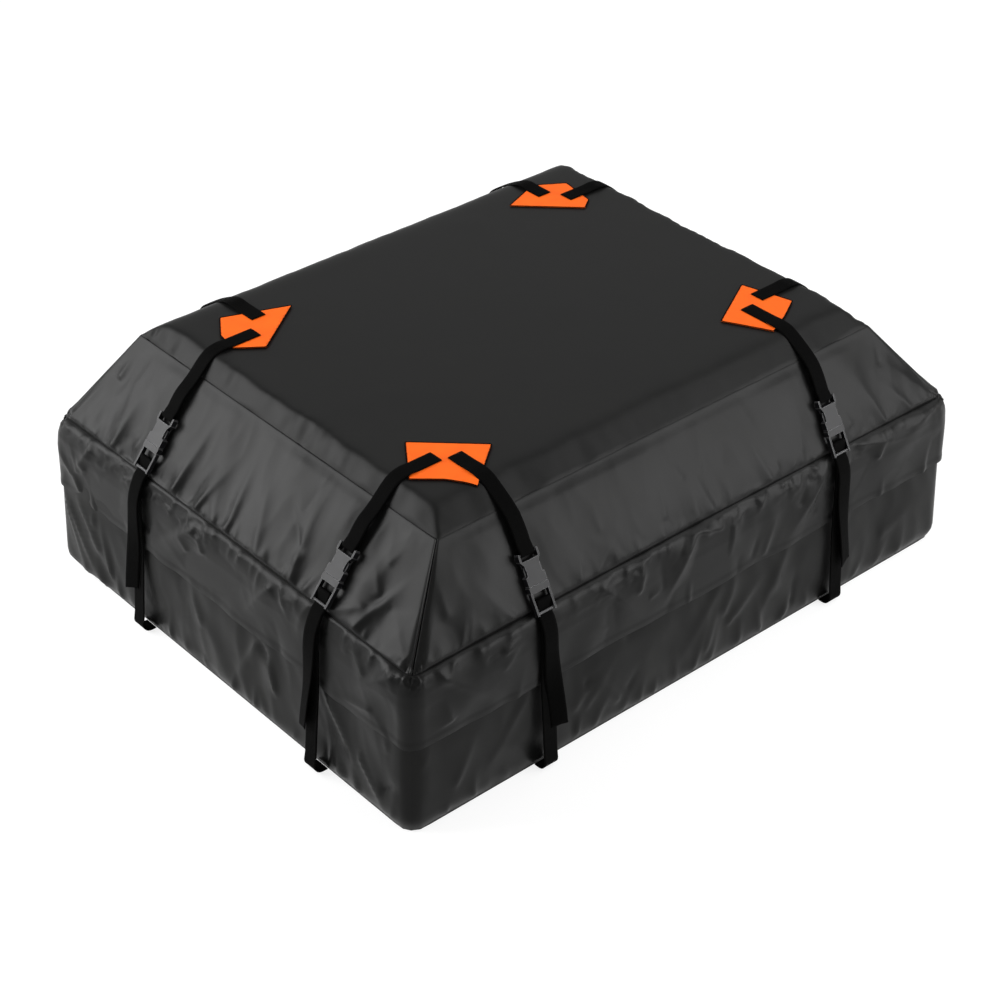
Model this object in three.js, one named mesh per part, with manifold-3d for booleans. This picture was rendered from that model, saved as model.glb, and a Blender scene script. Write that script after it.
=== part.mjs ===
// Soft roof cargo bag, closed and packed out to its full shape, in millimetres.
// +X runs along the longest side, +Z is up, and the origin is the middle of the base on the floor.
import * as THREE from 'three';
import { mergeVertices } from 'three/addons/utils/BufferGeometryUtils.js';
import Module from 'manifold-3d';

const wasm = await Module();
wasm.setup();

// Bag body: a boxy lower half with a sloped, four-sided shoulder and a flat crown
const bagLength = 1100;
const bagWidth = 865;
const cornerRadius = 18;
const upperCornerRadius = 5;
const wideSeamHeight = 268;
const shoulderRise = 136;
const crownRise = 28;
const endWallLean = 12.5;
const sideWallLean = 4;
const endSlopeRun = 110;
const sideSlopeRun = 76;
const endCrownRun = 28;
const sideCrownRun = 44;

// Fabric, seams and padding-out of the panels
const fabric = 1.5;
const baseThickness = 2.5;
const seamGap = 0.3;
const shoulderPuff = 4;
const shoulderFold = 2.6;
const wallPuff = 3;
const wallFold = 1.6;

// Zip round the bag just below the wide seam
const zipDrop = 24;
const tapeThickness = 1.2;
const tapeReach = 13;
const tapeTuck = 8;
const beadHeight = 4;
const beadProud = 1;
const chainGap = 2.4;

// Storm flap that hangs from the wide seam over the zip
const flapDepth = 115;
const flapStandOff = 10;
const flapHemStandOff = 7;
const flapHangs = 45;
const flapFold = 0.9;

// Webbing straps and the patches that carry them
const webWidth = 25;
const webThickness = 1.6;
const endStrapInset = 91;
const sideStrapInset = 99;
const endStrapStart = 20;
const sideStrapStart = 30;
const strapArch = 2.5;
const strapSewnLap = 26;
const legFloorReach = 22;
const legBend = 9;
const legClearance = 3.5;
const tailGap = 7;
const tailEndHeight = 72;
const tailSlant = 9;
const patchThickness = 1.2;
const patchInnerWidth = 122;
const patchOuterWidth = 96;
const patchWaist = 104;
const patchDepth = 96;
const patchInset = 8;
const patchDip = 10;

// Straps and patches are pinned on by hand, so several sit a little off the even spacing.
// Along is towards the side's own +Y, and start is how much further out the sewn end begins.
const strapShifts = {
  front_left_end: { along: 16.5, start: 10 },
  back_left_end: { along: 17.5, start: 0 },
  front_left_side: { along: -7.5, start: 0 },
  front_right_side: { along: -13.5, start: -19 },
  back_left_side: { along: -9, start: -15 },
};
const patchShifts = {
  front_left: { x: 0, y: -6, twist: 0 },
  front_right: { x: -29, y: 2.5, twist: -18 },
  back_left: { x: 8, y: -25, twist: 14 },
  back_right: { x: -17, y: -1, twist: 0 },
};

// Side-release buckles, measured along the strap from the top of the socket
const buckleWidth = 35;
const buckleThickness = 10;
const buckleOffset = 12;
const endBuckleRise = 10;
const sideBuckleRise = -2;
const barRadius = 2;
const barInset = 3;
const socketLength = 48;
const socketBodyStart = 12;
const socketWaist = 26;
const cavityWidth = 27.5;
const cavityHeight = 6;
const cavityStart = 16;
const windowStart = 18;
const windowEnd = 34;
const runningGap = 0.4;
const plugBlockLength = 10;
const ladderLength = 33;
const ladderThickness = 7.2;
const railWidth = 3.2;
const centreBarPlace = 14;
const prongWidth = 3;
const prongThickness = 5.2;
const padReach = 30.5;
const guideWidth = 5;
const guideLength = 24;

// Zip sliders and their pulls
const sliderLength = 18;
const sliderHeight = 16;
const sliderPlate = 1.6;
const sliderSpacing = 22;
const postLength = 6;
const archLength = 12;
const archWidth = 3.2;
const archRise = 3.7;
const archThickness = 1.2;
const pullLength = 32;
const pullWidth = 10;
const pullThickness = 1.5;
const pullRail = 2.4;
const pullWindow = 10;

// Worked-out places
const upperSeamHeight = wideSeamHeight + shoulderRise;
const topHeight = upperSeamHeight + crownRise;
const zipHeight = wideSeamHeight - zipDrop;
const wallTop = zipHeight - tapeReach;
const flapBottom = wideSeamHeight - flapDepth;
const webPitch = webThickness + seamGap;
const webWrap = barRadius + seamGap + webThickness / 2;
const buckleLength = socketLength + runningGap + plugBlockLength + ladderLength;
const ladderStart = socketLength + runningGap + plugBlockLength;

const cloth = new THREE.MeshStandardMaterial({ color: 0x383836, roughness: 0.62, metalness: 0 });
const liningCloth = new THREE.MeshStandardMaterial({ color: 0x232323, roughness: 0.8, metalness: 0 });
const orangeCloth = new THREE.MeshStandardMaterial({ color: 0xff6a1c, roughness: 0.6, metalness: 0 });
const webbing = new THREE.MeshStandardMaterial({ color: 0x0e0e0d, roughness: 0.85, metalness: 0 });
const zipTape = new THREE.MeshStandardMaterial({ color: 0x161616, roughness: 0.8, metalness: 0 });
const plastic = new THREE.MeshStandardMaterial({ color: 0x17181a, roughness: 0.3, metalness: 0 });
const castMetal = new THREE.MeshStandardMaterial({ color: 0x55585c, roughness: 0.35, metalness: 0.9 });

const bag = new THREE.Group();

// The four sides of the bag. Each is modelled facing +X, reach outwards and span sideways, then turned.
const sides = [
  { name: 'right', turn: 0, isEnd: true },
  { name: 'back', turn: Math.PI / 2, isEnd: false },
  { name: 'left', turn: Math.PI, isEnd: true },
  { name: 'front', turn: -Math.PI / 2, isEnd: false },
];

// A level is one outline of the bag, drawn in from the base by a different amount at ends and sides
function wallLevel(height) {
  const share = height / wideSeamHeight;
  return { height, endIn: endWallLean * share, sideIn: sideWallLean * share, radius: cornerRadius };
}

const wideSeam = wallLevel(wideSeamHeight);
const upperSeam = {
  height: upperSeamHeight,
  endIn: endWallLean + endSlopeRun,
  sideIn: sideWallLean + sideSlopeRun,
  radius: upperCornerRadius,
};

function halfSizes(side, level) {
  const halfLength = bagLength / 2 - level.endIn;
  const halfWidth = bagWidth / 2 - level.sideIn;
  return side.isEnd ? [halfLength, halfWidth] : [halfWidth, halfLength];
}

// Points along one side of a level, from the middle of one rounded corner to the middle of the next
function sideStations(side, level, inset, straightSteps, arcSteps, endGap) {
  const [halfReach, halfSpan] = halfSizes(side, level);
  const reach = halfReach - inset;
  const span = halfSpan - inset;
  const radius = level.radius - inset;
  const straight = span - radius;
  const stations = [];
  const addArcPoint = (angle, centreSpan) => {
    stations.push(new THREE.Vector3(
      reach - radius + radius * Math.cos(angle),
      centreSpan + radius * Math.sin(angle),
      level.height,
    ));
  };
  for (let k = 0; k <= arcSteps; k += 1) addArcPoint((Math.PI / 4) * (k / arcSteps - 1), -straight);
  for (let k = 1; k < straightSteps; k += 1) {
    stations.push(new THREE.Vector3(reach, straight * (2 * k / straightSteps - 1), level.height));
  }
  for (let k = 0; k <= arcSteps; k += 1) addArcPoint((Math.PI / 4) * (k / arcSteps), straight);
  stations[0].y += endGap;
  stations[stations.length - 1].y -= endGap;
  return stations;
}

// Closed solid between an outer and an inner grid of points, joined round its edges
function sheetSolid(outer, inner, closedRing) {
  const rows = outer.length;
  const columns = outer[0].length;
  const positions = [];
  for (const grid of [outer, inner]) {
    for (const row of grid) {
      for (const point of row) positions.push(point.x, point.y, point.z);
    }
  }
  const indices = [];
  const at = (layer, i, k) => layer * rows * columns + (i % rows) * columns + k;
  const quad = (a, b, c, d) => indices.push(a, b, c, a, c, d);
  const spans = closedRing ? rows : rows - 1;
  for (let i = 0; i < spans; i += 1) {
    for (let k = 0; k < columns - 1; k += 1) {
      quad(at(0, i, k), at(0, i + 1, k), at(0, i + 1, k + 1), at(0, i, k + 1));
      quad(at(1, i, k), at(1, i, k + 1), at(1, i + 1, k + 1), at(1, i + 1, k));
    }
    const last = columns - 1;
    quad(at(0, i, 0), at(1, i, 0), at(1, i + 1, 0), at(0, i + 1, 0));
    quad(at(0, i, last), at(0, i + 1, last), at(1, i + 1, last), at(1, i, last));
  }
  if (!closedRing) {
    const end = rows - 1;
    for (let k = 0; k < columns - 1; k += 1) {
      quad(at(0, 0, k), at(0, 0, k + 1), at(1, 0, k + 1), at(1, 0, k));
      quad(at(0, end, k), at(1, end, k), at(1, end, k + 1), at(0, end, k + 1));
    }
  }
  return outwardGeometry(positions, indices);
}

// Turns the faces outwards where the points were listed the other way round
function outwardGeometry(positions, indices) {
  const corner = (n) => new THREE.Vector3().fromArray(positions, indices[n] * 3);
  let volume = 0;
  for (let n = 0; n < indices.length; n += 3) {
    volume += corner(n).dot(corner(n + 1).cross(corner(n + 2)));
  }
  if (volume < 0) indices.reverse();
  const geometry = new THREE.BufferGeometry();
  geometry.setAttribute('position', new THREE.Float32BufferAttribute(positions, 3));
  geometry.setIndex(indices);
  geometry.computeVertexNormals();
  return geometry;
}

function addPiece(name, geometry, material, parent = bag) {
  const piece = new THREE.Mesh(geometry, material);
  piece.name = name;
  parent.add(piece);
  return piece;
}

function turnedGroup(side) {
  const group = new THREE.Group();
  group.rotation.z = side.turn;
  bag.add(group);
  return group;
}

// Soft folds: a few long waves along the span that die out at every seam
function foldWave(along, up, phase) {
  const slow = Math.sin(along / 61 + phase + up * 1.7);
  const middle = Math.sin(along / 37 - phase * 2 + up * 2.9);
  const quick = Math.sin(along / 23 + phase * 3 - up * 2.1);
  return 0.5 * slow + 0.3 * middle + 0.2 * quick;
}

function seamFade(along, halfSpan, fadeLength) {
  return Math.min(1, Math.max(0, (halfSpan - Math.abs(along)) / fadeLength));
}

// One sewn panel between two levels, its middle puffed out along its own face
function loftedPanel(side, low, high, shape) {
  const face = new THREE.Vector3();
  const [lowReach, halfSpan] = halfSizes(side, low);
  const [highReach] = halfSizes(side, high);
  face.set(high.height - low.height, 0, lowReach - highReach).normalize();
  const grids = [0, fabric].map((inset) => {
    const lowRow = sideStations(side, low, inset, shape.steps, shape.arcSteps, shape.endGap);
    const highRow = sideStations(side, high, inset, shape.steps, shape.arcSteps, shape.endGap);
    return lowRow.map((start, i) => {
      const column = [];
      for (let k = 0; k <= shape.bands; k += 1) {
        const up = k / shape.bands;
        const point = start.clone().lerp(highRow[i], up);
        const fade = seamFade(start.y, halfSpan, shape.fadeLength) * Math.sin(Math.PI * up);
        const lift = shape.puff + shape.fold * foldWave(start.y, up, side.turn + shape.phase);
        column.push(point.addScaledVector(face, lift * fade));
      }
      return column;
    });
  });
  return sheetSolid(grids[0], grids[1], false);
}

const mitreGap = seamGap * 0.75;

// Base: one reinforced sheet with rounded corners
function basePanel() {
  const foot = wallLevel(0);
  const outline = new THREE.Shape();
  sides.forEach((side, n) => {
    const turn = new THREE.Matrix4().makeRotationZ(side.turn);
    sideStations(side, foot, 0, 1, 3, 0).slice(n ? 1 : 0).forEach((station, k) => {
      const point = station.applyMatrix4(turn);
      if (n === 0 && k === 0) outline.moveTo(point.x, point.y);
      else outline.lineTo(point.x, point.y);
    });
  });
  const geometry = new THREE.ExtrudeGeometry(outline, { depth: baseThickness, bevelEnabled: false });
  addPiece('base_panel', geometry, liningCloth);
}

function wallPanels() {
  for (const side of sides) {
    const shape = {
      steps: side.isEnd ? 18 : 24,
      arcSteps: 3,
      bands: 2,
      endGap: mitreGap,
      puff: wallPuff,
      fold: wallFold,
      fadeLength: 120,
      phase: 0.4,
    };
    const low = wallLevel(baseThickness + seamGap);
    addPiece(`${side.name}_wall`, loftedPanel(side, low, wallLevel(wallTop), shape), cloth, turnedGroup(side));
  }
}

function shoulderPanels() {
  for (const side of sides) {
    const shape = {
      steps: side.isEnd ? 25 : 32,
      arcSteps: 3,
      bands: 4,
      endGap: mitreGap,
      puff: shoulderPuff,
      fold: shoulderFold,
      fadeLength: 140,
      phase: 1.1,
    };
    addPiece(`${side.name}_shoulder`, loftedPanel(side, wideSeam, upperSeam, shape), cloth, turnedGroup(side));
  }
}

// Crown: one sheet, flat on top, its edge rolling down to the upper seam all round
function topPanel() {
  const edgeHeight = upperSeamHeight + seamGap;
  const rise = topHeight - edgeHeight;
  const roll = (distance, run) => {
    const share = Math.min(1, distance / run);
    return 0.45 * share + 0.55 * Math.sin(Math.PI * share / 2);
  };
  const stations = (half, run, flatSteps) => {
    const edge = [0, 0.3, 0.65].map((share) => run * share - half);
    const flat = half - run;
    const middle = [];
    for (let k = 0; k <= flatSteps; k += 1) middle.push(flat * (2 * k / flatSteps - 1));
    return [...edge, ...middle, ...edge.map((place) => -place).reverse()];
  };
  const [halfLength, halfWidth] = halfSizes(sides[0], upperSeam);
  const alongX = stations(halfLength, endCrownRun, 12);
  const alongY = stations(halfWidth, sideCrownRun, 8);
  const outer = alongX.map((x) => alongY.map((y) => {
    const ends = roll(halfLength - Math.abs(x), endCrownRun);
    const flanks = roll(halfWidth - Math.abs(y), sideCrownRun);
    return new THREE.Vector3(x, y, edgeHeight + rise * ends * flanks);
  }));
  const inner = outer.map((row) => row.map((point) => new THREE.Vector3(
    point.x * (1 - fabric / halfLength),
    point.y * (1 - fabric / halfWidth),
    Math.max(edgeHeight, point.z - fabric),
  )));
  addPiece('top_panel', sheetSolid(outer, inner, false), cloth);
}

// Rows of points for a strip along one side: profile points are [stand-off from the wall line, height]
function stripRows(side, profile, shape) {
  const [, halfSpan] = halfSizes(side, wallLevel(zipHeight));
  const columns = profile.map(([standOff, height]) => (
    sideStations(side, wallLevel(height), -standOff, shape.steps, shape.arcSteps, shape.endGap)
  ));
  return columns[0].map((first, i) => columns.map((column, k) => {
    const fade = seamFade(first.y, halfSpan, 80) * k / (columns.length - 1);
    column[i].x += shape.fold * fade * foldWave(first.y * 1.3, k, side.turn);
    return column[i];
  }));
}

// The same strip run right round the bag as one piece
function ringStrip(outerProfile, innerProfile) {
  const shape = { steps: 1, arcSteps: 2, endGap: 0, fold: 0 };
  const grids = [outerProfile, innerProfile].map((profile) => sides.flatMap((side) => {
    const turn = new THREE.Matrix4().makeRotationZ(side.turn);
    const rows = stripRows(side, profile, shape).slice(0, -1);
    return rows.map((row) => row.map((point) => point.applyMatrix4(turn)));
  }));
  return sheetSolid(grids[0], grids[1], true);
}

// Storm flap: swells out from the wide seam to clear the zip, then hangs straight down
function stormFlaps() {
  const swellDrop = 6;
  const hangDrop = 16;
  const swell = flapStandOff * 0.7;
  const outer = [
    [0, wideSeamHeight - seamGap],
    [swell + fabric, wideSeamHeight - swellDrop],
    [flapStandOff + fabric, wideSeamHeight - hangDrop],
    [flapStandOff + fabric, wideSeamHeight - flapHangs],
    [flapHemStandOff + fabric, flapBottom],
  ];
  const inner = [
    [-fabric, wideSeamHeight - seamGap],
    [swell, wideSeamHeight - swellDrop - fabric],
    [flapStandOff, wideSeamHeight - hangDrop],
    [flapStandOff, wideSeamHeight - flapHangs],
    [flapHemStandOff, flapBottom],
  ];
  for (const side of sides) {
    const shape = { steps: side.isEnd ? 14 : 18, arcSteps: 2, endGap: mitreGap, fold: flapFold };
    const geometry = sheetSolid(stripRows(side, outer, shape), stripRows(side, inner, shape), false);
    addPiece(`${side.name}_flap`, geometry, cloth, turnedGroup(side));
  }
}

// Zip: two tapes, each with a bead of coil along its inner edge, facing each other across the chain gap
function zipTapes() {
  const face = -(fabric + seamGap);
  const back = face - tapeThickness;
  const profile = (edge, beadEnd, far) => [
    [[face + beadProud, edge], [face + beadProud, beadEnd], [face, beadEnd], [face, far]],
    [[back - beadProud, edge], [back - beadProud, beadEnd], [back, beadEnd], [back, far]],
  ];
  const upperEdge = zipHeight + chainGap / 2;
  const lowerEdge = zipHeight - chainGap / 2;
  const upper = profile(upperEdge, upperEdge + beadHeight, wideSeamHeight - seamGap);
  const lower = profile(lowerEdge, lowerEdge - beadHeight, wallTop - tapeTuck);
  addPiece('zip_upper_tape', ringStrip(upper[0], upper[1]), zipTape);
  addPiece('zip_lower_tape', ringStrip(lower[0], lower[1]), zipTape);
}

// Manifold solids from geometry and back, for pieces that need joining or cutting
function toSolid(geometry) {
  const bare = geometry.index ? geometry.toNonIndexed() : geometry.clone();
  bare.deleteAttribute('normal');
  bare.deleteAttribute('uv');
  const merged = mergeVertices(bare, 1e-4);
  return new wasm.Manifold(new wasm.Mesh({
    numProp: 3,
    vertProperties: new Float32Array(merged.attributes.position.array),
    triVerts: new Uint32Array(merged.index.array),
  }));
}

function toGeometry(solid) {
  const mesh = solid.getMesh();
  const geometry = new THREE.BufferGeometry();
  geometry.setAttribute('position', new THREE.BufferAttribute(mesh.vertProperties.slice(), 3));
  geometry.setIndex(new THREE.BufferAttribute(mesh.triVerts.slice(), 1));
  geometry.computeVertexNormals();
  return geometry;
}

function shapeFrom(points) {
  return new THREE.Shape(points.map(([x, y]) => new THREE.Vector2(x, y)));
}

// A flat plate of the given outline, centred on its own thickness
function plate(shape, thickness) {
  const settings = { depth: thickness, bevelEnabled: false, curveSegments: 4 };
  const geometry = new THREE.ExtrudeGeometry(shape, settings);
  return geometry.translate(0, 0, -thickness / 2);
}

function block(width, length, height, x, y, z) {
  return new THREE.BoxGeometry(width, length, height).translate(x, y, z);
}

// Round bar across the buckle that the webbing goes round
function bar(place) {
  const geometry = new THREE.CylinderGeometry(barRadius, barRadius, buckleWidth - railWidth, 8);
  return geometry.rotateZ(Math.PI / 2).translate(0, place, 0);
}

const mirrored = (points) => [...points, ...points.map(([x, y]) => [-x, y]).reverse()];

// Socket: a web bar between two rails, a waisted body with side windows, and a mouth for the plug
function buckleSocket() {
  const half = buckleWidth / 2;
  const slotHalf = half - railWidth;
  const waistHalf = socketWaist / 2;
  const body = shapeFrom(mirrored([
    [slotHalf, socketBodyStart],
    [slotHalf, 1],
    [slotHalf + 1, 0],
    [half - 1, 0],
    [half, 1.5],
    [half, socketBodyStart - 1],
    [waistHalf + 1.4, windowStart - 2.5],
    [waistHalf, windowStart],
    [waistHalf - 0.6, (windowStart + windowEnd) / 2],
    [waistHalf, windowEnd],
    [half - 2, windowEnd],
    [half - 1, windowEnd + 1],
    [half - 1, socketLength - 1],
    [half - 2, socketLength],
  ]));
  const cavityLength = socketLength - cavityStart + 1;
  const cavity = block(
    cavityWidth, cavityLength, cavityHeight,
    0, cavityStart + cavityLength / 2, 0,
  );
  const solid = toSolid(plate(body, buckleThickness))
    .subtract(toSolid(cavity))
    .add(toSolid(bar(barInset)));
  return toGeometry(solid);
}

// Plug: two sprung prongs with thumb pads, a guide between them, and a ladder lock for the webbing
function bucklePlug() {
  const half = buckleWidth / 2 - 0.5;
  const blockStart = socketLength + runningGap;
  const prongHalf = cavityWidth / 2 - runningGap;
  const padHalf = padReach / 2;
  const prong = shapeFrom([
    [prongHalf - prongWidth, blockStart + 1],
    [prongHalf - prongWidth, windowStart + 4],
    [prongHalf - prongWidth - 1, windowStart + 2],
    [prongHalf - 2, windowStart + 1],
    [padHalf - 1, windowStart + 2.5],
    [padHalf, windowStart + 6],
    [padHalf, windowEnd - runningGap - 1],
    [padHalf - 1, windowEnd - runningGap],
    [prongHalf, windowEnd - runningGap],
    [prongHalf, blockStart + 1],
  ]);
  const guideTop = blockStart - guideLength;
  const guide = block(
    guideWidth, guideLength + 1, prongThickness,
    0, guideTop + (guideLength + 1) / 2, 0,
  );
  const collar = shapeFrom(mirrored([
    [half - 1, blockStart],
    [half, blockStart + 1],
    [half, ladderStart - 1],
    [half - 1, ladderStart],
  ]));
  const rail = block(
    railWidth, ladderLength, ladderThickness,
    half - railWidth / 2, ladderStart + ladderLength / 2 - 0.5, 0,
  );
  let solid = toSolid(plate(collar, buckleThickness)).add(toSolid(guide));
  for (const flip of [1, -1]) {
    const turn = flip > 0 ? 0 : Math.PI;
    solid = solid.add(toSolid(plate(prong, prongThickness).rotateY(turn)));
    solid = solid.add(toSolid(rail.clone().rotateY(turn)));
  }
  solid = solid.add(toSolid(bar(ladderStart + centreBarPlace)));
  solid = solid.add(toSolid(bar(buckleLength - barInset)));
  return toGeometry(solid);
}

// Webbing seen edge on: a centre line thickened to the web, then drawn out to its width
function ribbon(centreLine, endSlant) {
  const half = webThickness / 2;
  const left = [];
  const right = [];
  centreLine.forEach((point, n) => {
    const before = centreLine[Math.max(n - 1, 0)];
    const after = centreLine[Math.min(n + 1, centreLine.length - 1)];
    const inward = point.clone().sub(before).normalize();
    const onward = after.clone().sub(point).normalize();
    if (n === 0) inward.copy(onward);
    if (n === centreLine.length - 1) onward.copy(inward);
    const along = inward.clone().add(onward).normalize();
    const mitre = half / Math.max(0.5, along.dot(inward));
    left.push(new THREE.Vector2(point.x - along.y * mitre, point.y + along.x * mitre));
    right.push(new THREE.Vector2(point.x + along.y * mitre, point.y - along.x * mitre));
  });
  const outline = new THREE.Shape([...left, ...right.reverse()]);
  const geometry = new THREE.ExtrudeGeometry(outline, { depth: webWidth, bevelEnabled: false });
  const end = centreLine[centreLine.length - 1];
  const place = geometry.attributes.position;
  for (let n = 0; n < place.count; n += 1) {
    const nearEnd = Math.hypot(place.getX(n) - end.x, place.getY(n) - end.y) < webThickness;
    if (nearEnd) place.setY(n, place.getY(n) + endSlant * place.getZ(n) / webWidth);
  }
  return geometry.translate(0, 0, -webWidth / 2);
}

// Everything about one strap that depends on whether it runs over an end or over a side of the bag
function strapLayout(side) {
  const [foot] = halfSizes(side, wallLevel(0));
  const [wideReach] = halfSizes(side, wideSeam);
  const [upperReach] = halfSizes(side, upperSeam);
  const foldReach = upperReach - (side.isEnd ? endCrownRun : sideCrownRun);
  const wide = new THREE.Vector2(wideReach, wideSeamHeight);
  const down = wide.clone().sub(new THREE.Vector2(upperReach, upperSeamHeight)).normalize();
  const out = new THREE.Vector2(-down.y, down.x);
  const rise = side.isEnd ? endBuckleRise : sideBuckleRise;
  const buckleTop = wide.clone()
    .addScaledVector(down, -(rise + buckleLength))
    .addScaledVector(out, buckleOffset);
  const onBuckle = (along, off) => buckleTop.clone().addScaledVector(down, along).addScaledVector(out, off);
  return { side, foot, foldReach, down, out, buckleTop, onBuckle };
}

const strapCrossing = new THREE.Vector2(
  bagLength / 2 - upperSeam.endIn - endCrownRun - sideStrapInset,
  bagWidth / 2 - upperSeam.sideIn - sideCrownRun - endStrapInset,
);

// Arc of the webbing round a bar
function wrap(layout, place, startAngle, endAngle, steps) {
  const points = [];
  for (let k = 0; k <= steps; k += 1) {
    const angle = startAngle + (endAngle - startAngle) * k / steps;
    points.push(layout.onBuckle(place + webWrap * Math.cos(angle), webWrap * Math.sin(angle)));
  }
  return points;
}

// Upper strap: sewn to its patch, over the crown edge, round the socket bar and sewn back on itself
function upperStrapLine(layout, startShift) {
  const { side, foldReach, onBuckle } = layout;
  const onPatch = topHeight + patchThickness + 2 * seamGap + webThickness / 2;
  const evenStart = side.isEnd
    ? strapCrossing.x + endStrapStart
    : strapCrossing.y + sideStrapStart;
  const start = evenStart + startShift;
  const meet = barInset - 14;
  const curve = new THREE.SplineCurve([
    new THREE.Vector2(start, onPatch),
    new THREE.Vector2(foldReach - 34, onPatch),
    new THREE.Vector2(foldReach - 12, onPatch + strapArch),
    new THREE.Vector2(foldReach + 10, onPatch + strapArch - 4),
    onBuckle(meet - 2 * strapSewnLap, webPitch / 2 + 1),
    onBuckle(meet - strapSewnLap, webPitch / 2),
    onBuckle(meet, webPitch / 2),
  ]);
  const main = curve.getPoints(11);
  const flare = 7;
  return [
    ...main,
    onBuckle(barInset - flare, webWrap * 0.72),
    ...wrap(layout, barInset, Math.PI / 2, -Math.PI / 2, 4),
    onBuckle(barInset - flare, -webWrap * 0.72),
    onBuckle(meet, -webPitch / 2),
    onBuckle(meet - strapSewnLap * 0.8, -webPitch / 2),
  ];
}

// Lower strap: sewn into the foot of the wall, up in front of the flap, over the ladder's middle bar,
// back down behind its last bar, tail hanging in front
function lowerStrapLine(layout) {
  const { side, foot, onBuckle } = layout;
  const floorLine = seamGap + webThickness / 2;
  const legReach = (height) => {
    const [reach] = halfSizes(side, wallLevel(Math.max(height, flapBottom)));
    const overFlap = reach + flapStandOff + fabric + legClearance;
    const drop = Math.max(0, flapBottom - height) / flapBottom;
    return overFlap + (foot + legFloorReach - overFlap) * drop;
  };
  const legPoint = (height, extra) => new THREE.Vector2(legReach(height) + extra, height);
  const lastBar = buckleLength - barInset;
  const centreBar = ladderStart + centreBarPlace;
  const turnReach = foot + legFloorReach - legBend;
  const floorTurn = [0.25, 0.5, 0.75, 1].map((share) => new THREE.Vector2(
    turnReach + legBend * Math.sin(share * Math.PI / 2),
    floorLine + legBend * (1 - Math.cos(share * Math.PI / 2)),
  ));
  const dip = Math.asin(2 * webWrap / (lastBar - centreBar));
  const legDepth = -(webWrap + webPitch);
  const leg = new THREE.SplineCurve([
    legPoint(30, 0),
    legPoint(flapBottom * 0.55, 0),
    legPoint(flapBottom, 0),
    legPoint(zipHeight, 0),
    onBuckle(buckleLength + 15, legDepth + 0.4),
  ]).getPoints(7);
  const tail = new THREE.SplineCurve([
    onBuckle(buckleLength + 15, 0.4 - webWrap),
    legPoint(zipHeight - 12, tailGap),
    legPoint(flapBottom, tailGap),
    legPoint(tailEndHeight, tailGap),
  ]).getPoints(6);
  return [
    new THREE.Vector2(foot + seamGap, floorLine),
    new THREE.Vector2(turnReach, floorLine),
    ...floorTurn,
    ...leg,
    onBuckle(buckleLength + 5, legDepth),
    onBuckle(lastBar + 2, legDepth),
    ...wrap(layout, centreBar, 1.5 * Math.PI, 0.5 * Math.PI - dip, 5),
    ...wrap(layout, lastBar, 1.5 * Math.PI - dip, 1.5 * Math.PI, 1),
    onBuckle(buckleLength + 5, -webWrap),
    ...tail,
  ];
}

function cornerName(x, y) {
  return `${y < 0 ? 'front' : 'back'}_${x < 0 ? 'left' : 'right'}`;
}

// Two strap and buckle sets on each side of the bag
function strapSets() {
  const socket = buckleSocket();
  const plug = bucklePlug();
  for (const side of sides) {
    const layout = strapLayout(side);
    const lower = ribbon(lowerStrapLine(layout), tailSlant);
    const across = side.isEnd ? strapCrossing.y : strapCrossing.x;
    for (const evenPlace of [-across, across]) {
      const group = turnedGroup(side);
      const spot = new THREE.Vector3(1, evenPlace, 0).applyAxisAngle(new THREE.Vector3(0, 0, 1), side.turn);
      const label = `${cornerName(spot.x, spot.y)}_${side.isEnd ? 'end' : 'side'}`;
      const shift = strapShifts[label] ?? { along: 0, start: 0 };
      const place = evenPlace + shift.along;
      const upper = ribbon(upperStrapLine(layout, shift.start), 0);
      for (const [name, geometry] of [['upper_strap', upper], ['lower_strap', lower]]) {
        const strap = addPiece(`${name}_${label}`, geometry, webbing, group);
        strap.rotation.x = Math.PI / 2;
        strap.position.y = place;
      }
      const buckle = new THREE.Group();
      const acrossAxis = new THREE.Vector3(0, -1, 0);
      const downAxis = new THREE.Vector3(layout.down.x, 0, layout.down.y);
      const outAxis = new THREE.Vector3(layout.out.x, 0, layout.out.y);
      buckle.setRotationFromMatrix(new THREE.Matrix4().makeBasis(acrossAxis, downAxis, outAxis));
      buckle.position.set(layout.buckleTop.x, place, layout.buckleTop.y);
      group.add(buckle);
      addPiece(`buckle_socket_${label}`, socket, plastic, buckle);
      addPiece(`buckle_plug_${label}`, plug, plastic, buckle);
    }
  }
}

// Four patches, one under each pair of strap ends, their long side towards the middle of the bag
function patches() {
  const outer = patchDepth - patchInset;
  const outline = shapeFrom([
    [-patchInset, -patchInnerWidth / 2],
    [patchDepth / 2 - patchInset, -patchWaist / 2],
    [outer, -patchOuterWidth / 2],
    [outer - patchDip, 0],
    [outer, patchOuterWidth / 2],
    [patchDepth / 2 - patchInset, patchWaist / 2],
    [-patchInset, patchInnerWidth / 2],
  ]);
  const geometry = new THREE.ExtrudeGeometry(outline, { depth: patchThickness, bevelEnabled: false });
  for (const signX of [-1, 1]) {
    for (const signY of [-1, 1]) {
      const corner = cornerName(signX, signY);
      const shift = patchShifts[corner];
      const x = signX * strapCrossing.x + shift.x;
      const y = signY * strapCrossing.y + shift.y;
      const patch = addPiece(`patch_${corner}`, geometry, orangeCloth);
      patch.position.set(x, y, topHeight + seamGap);
      patch.rotation.z = Math.atan2(signY, signX) + THREE.MathUtils.degToRad(shift.twist);
    }
  }
}

// Slider: two plates over the beads, a post through the chain gap, and an arch that holds the pull.
// Here x is outwards, y runs along the zip and z is up; the pull hangs back along +y.
const plateFace = tapeThickness / 2 + beadProud + runningGap;
const pullPlace = plateFace + sliderPlate + 0.5 + pullThickness / 2;

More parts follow.
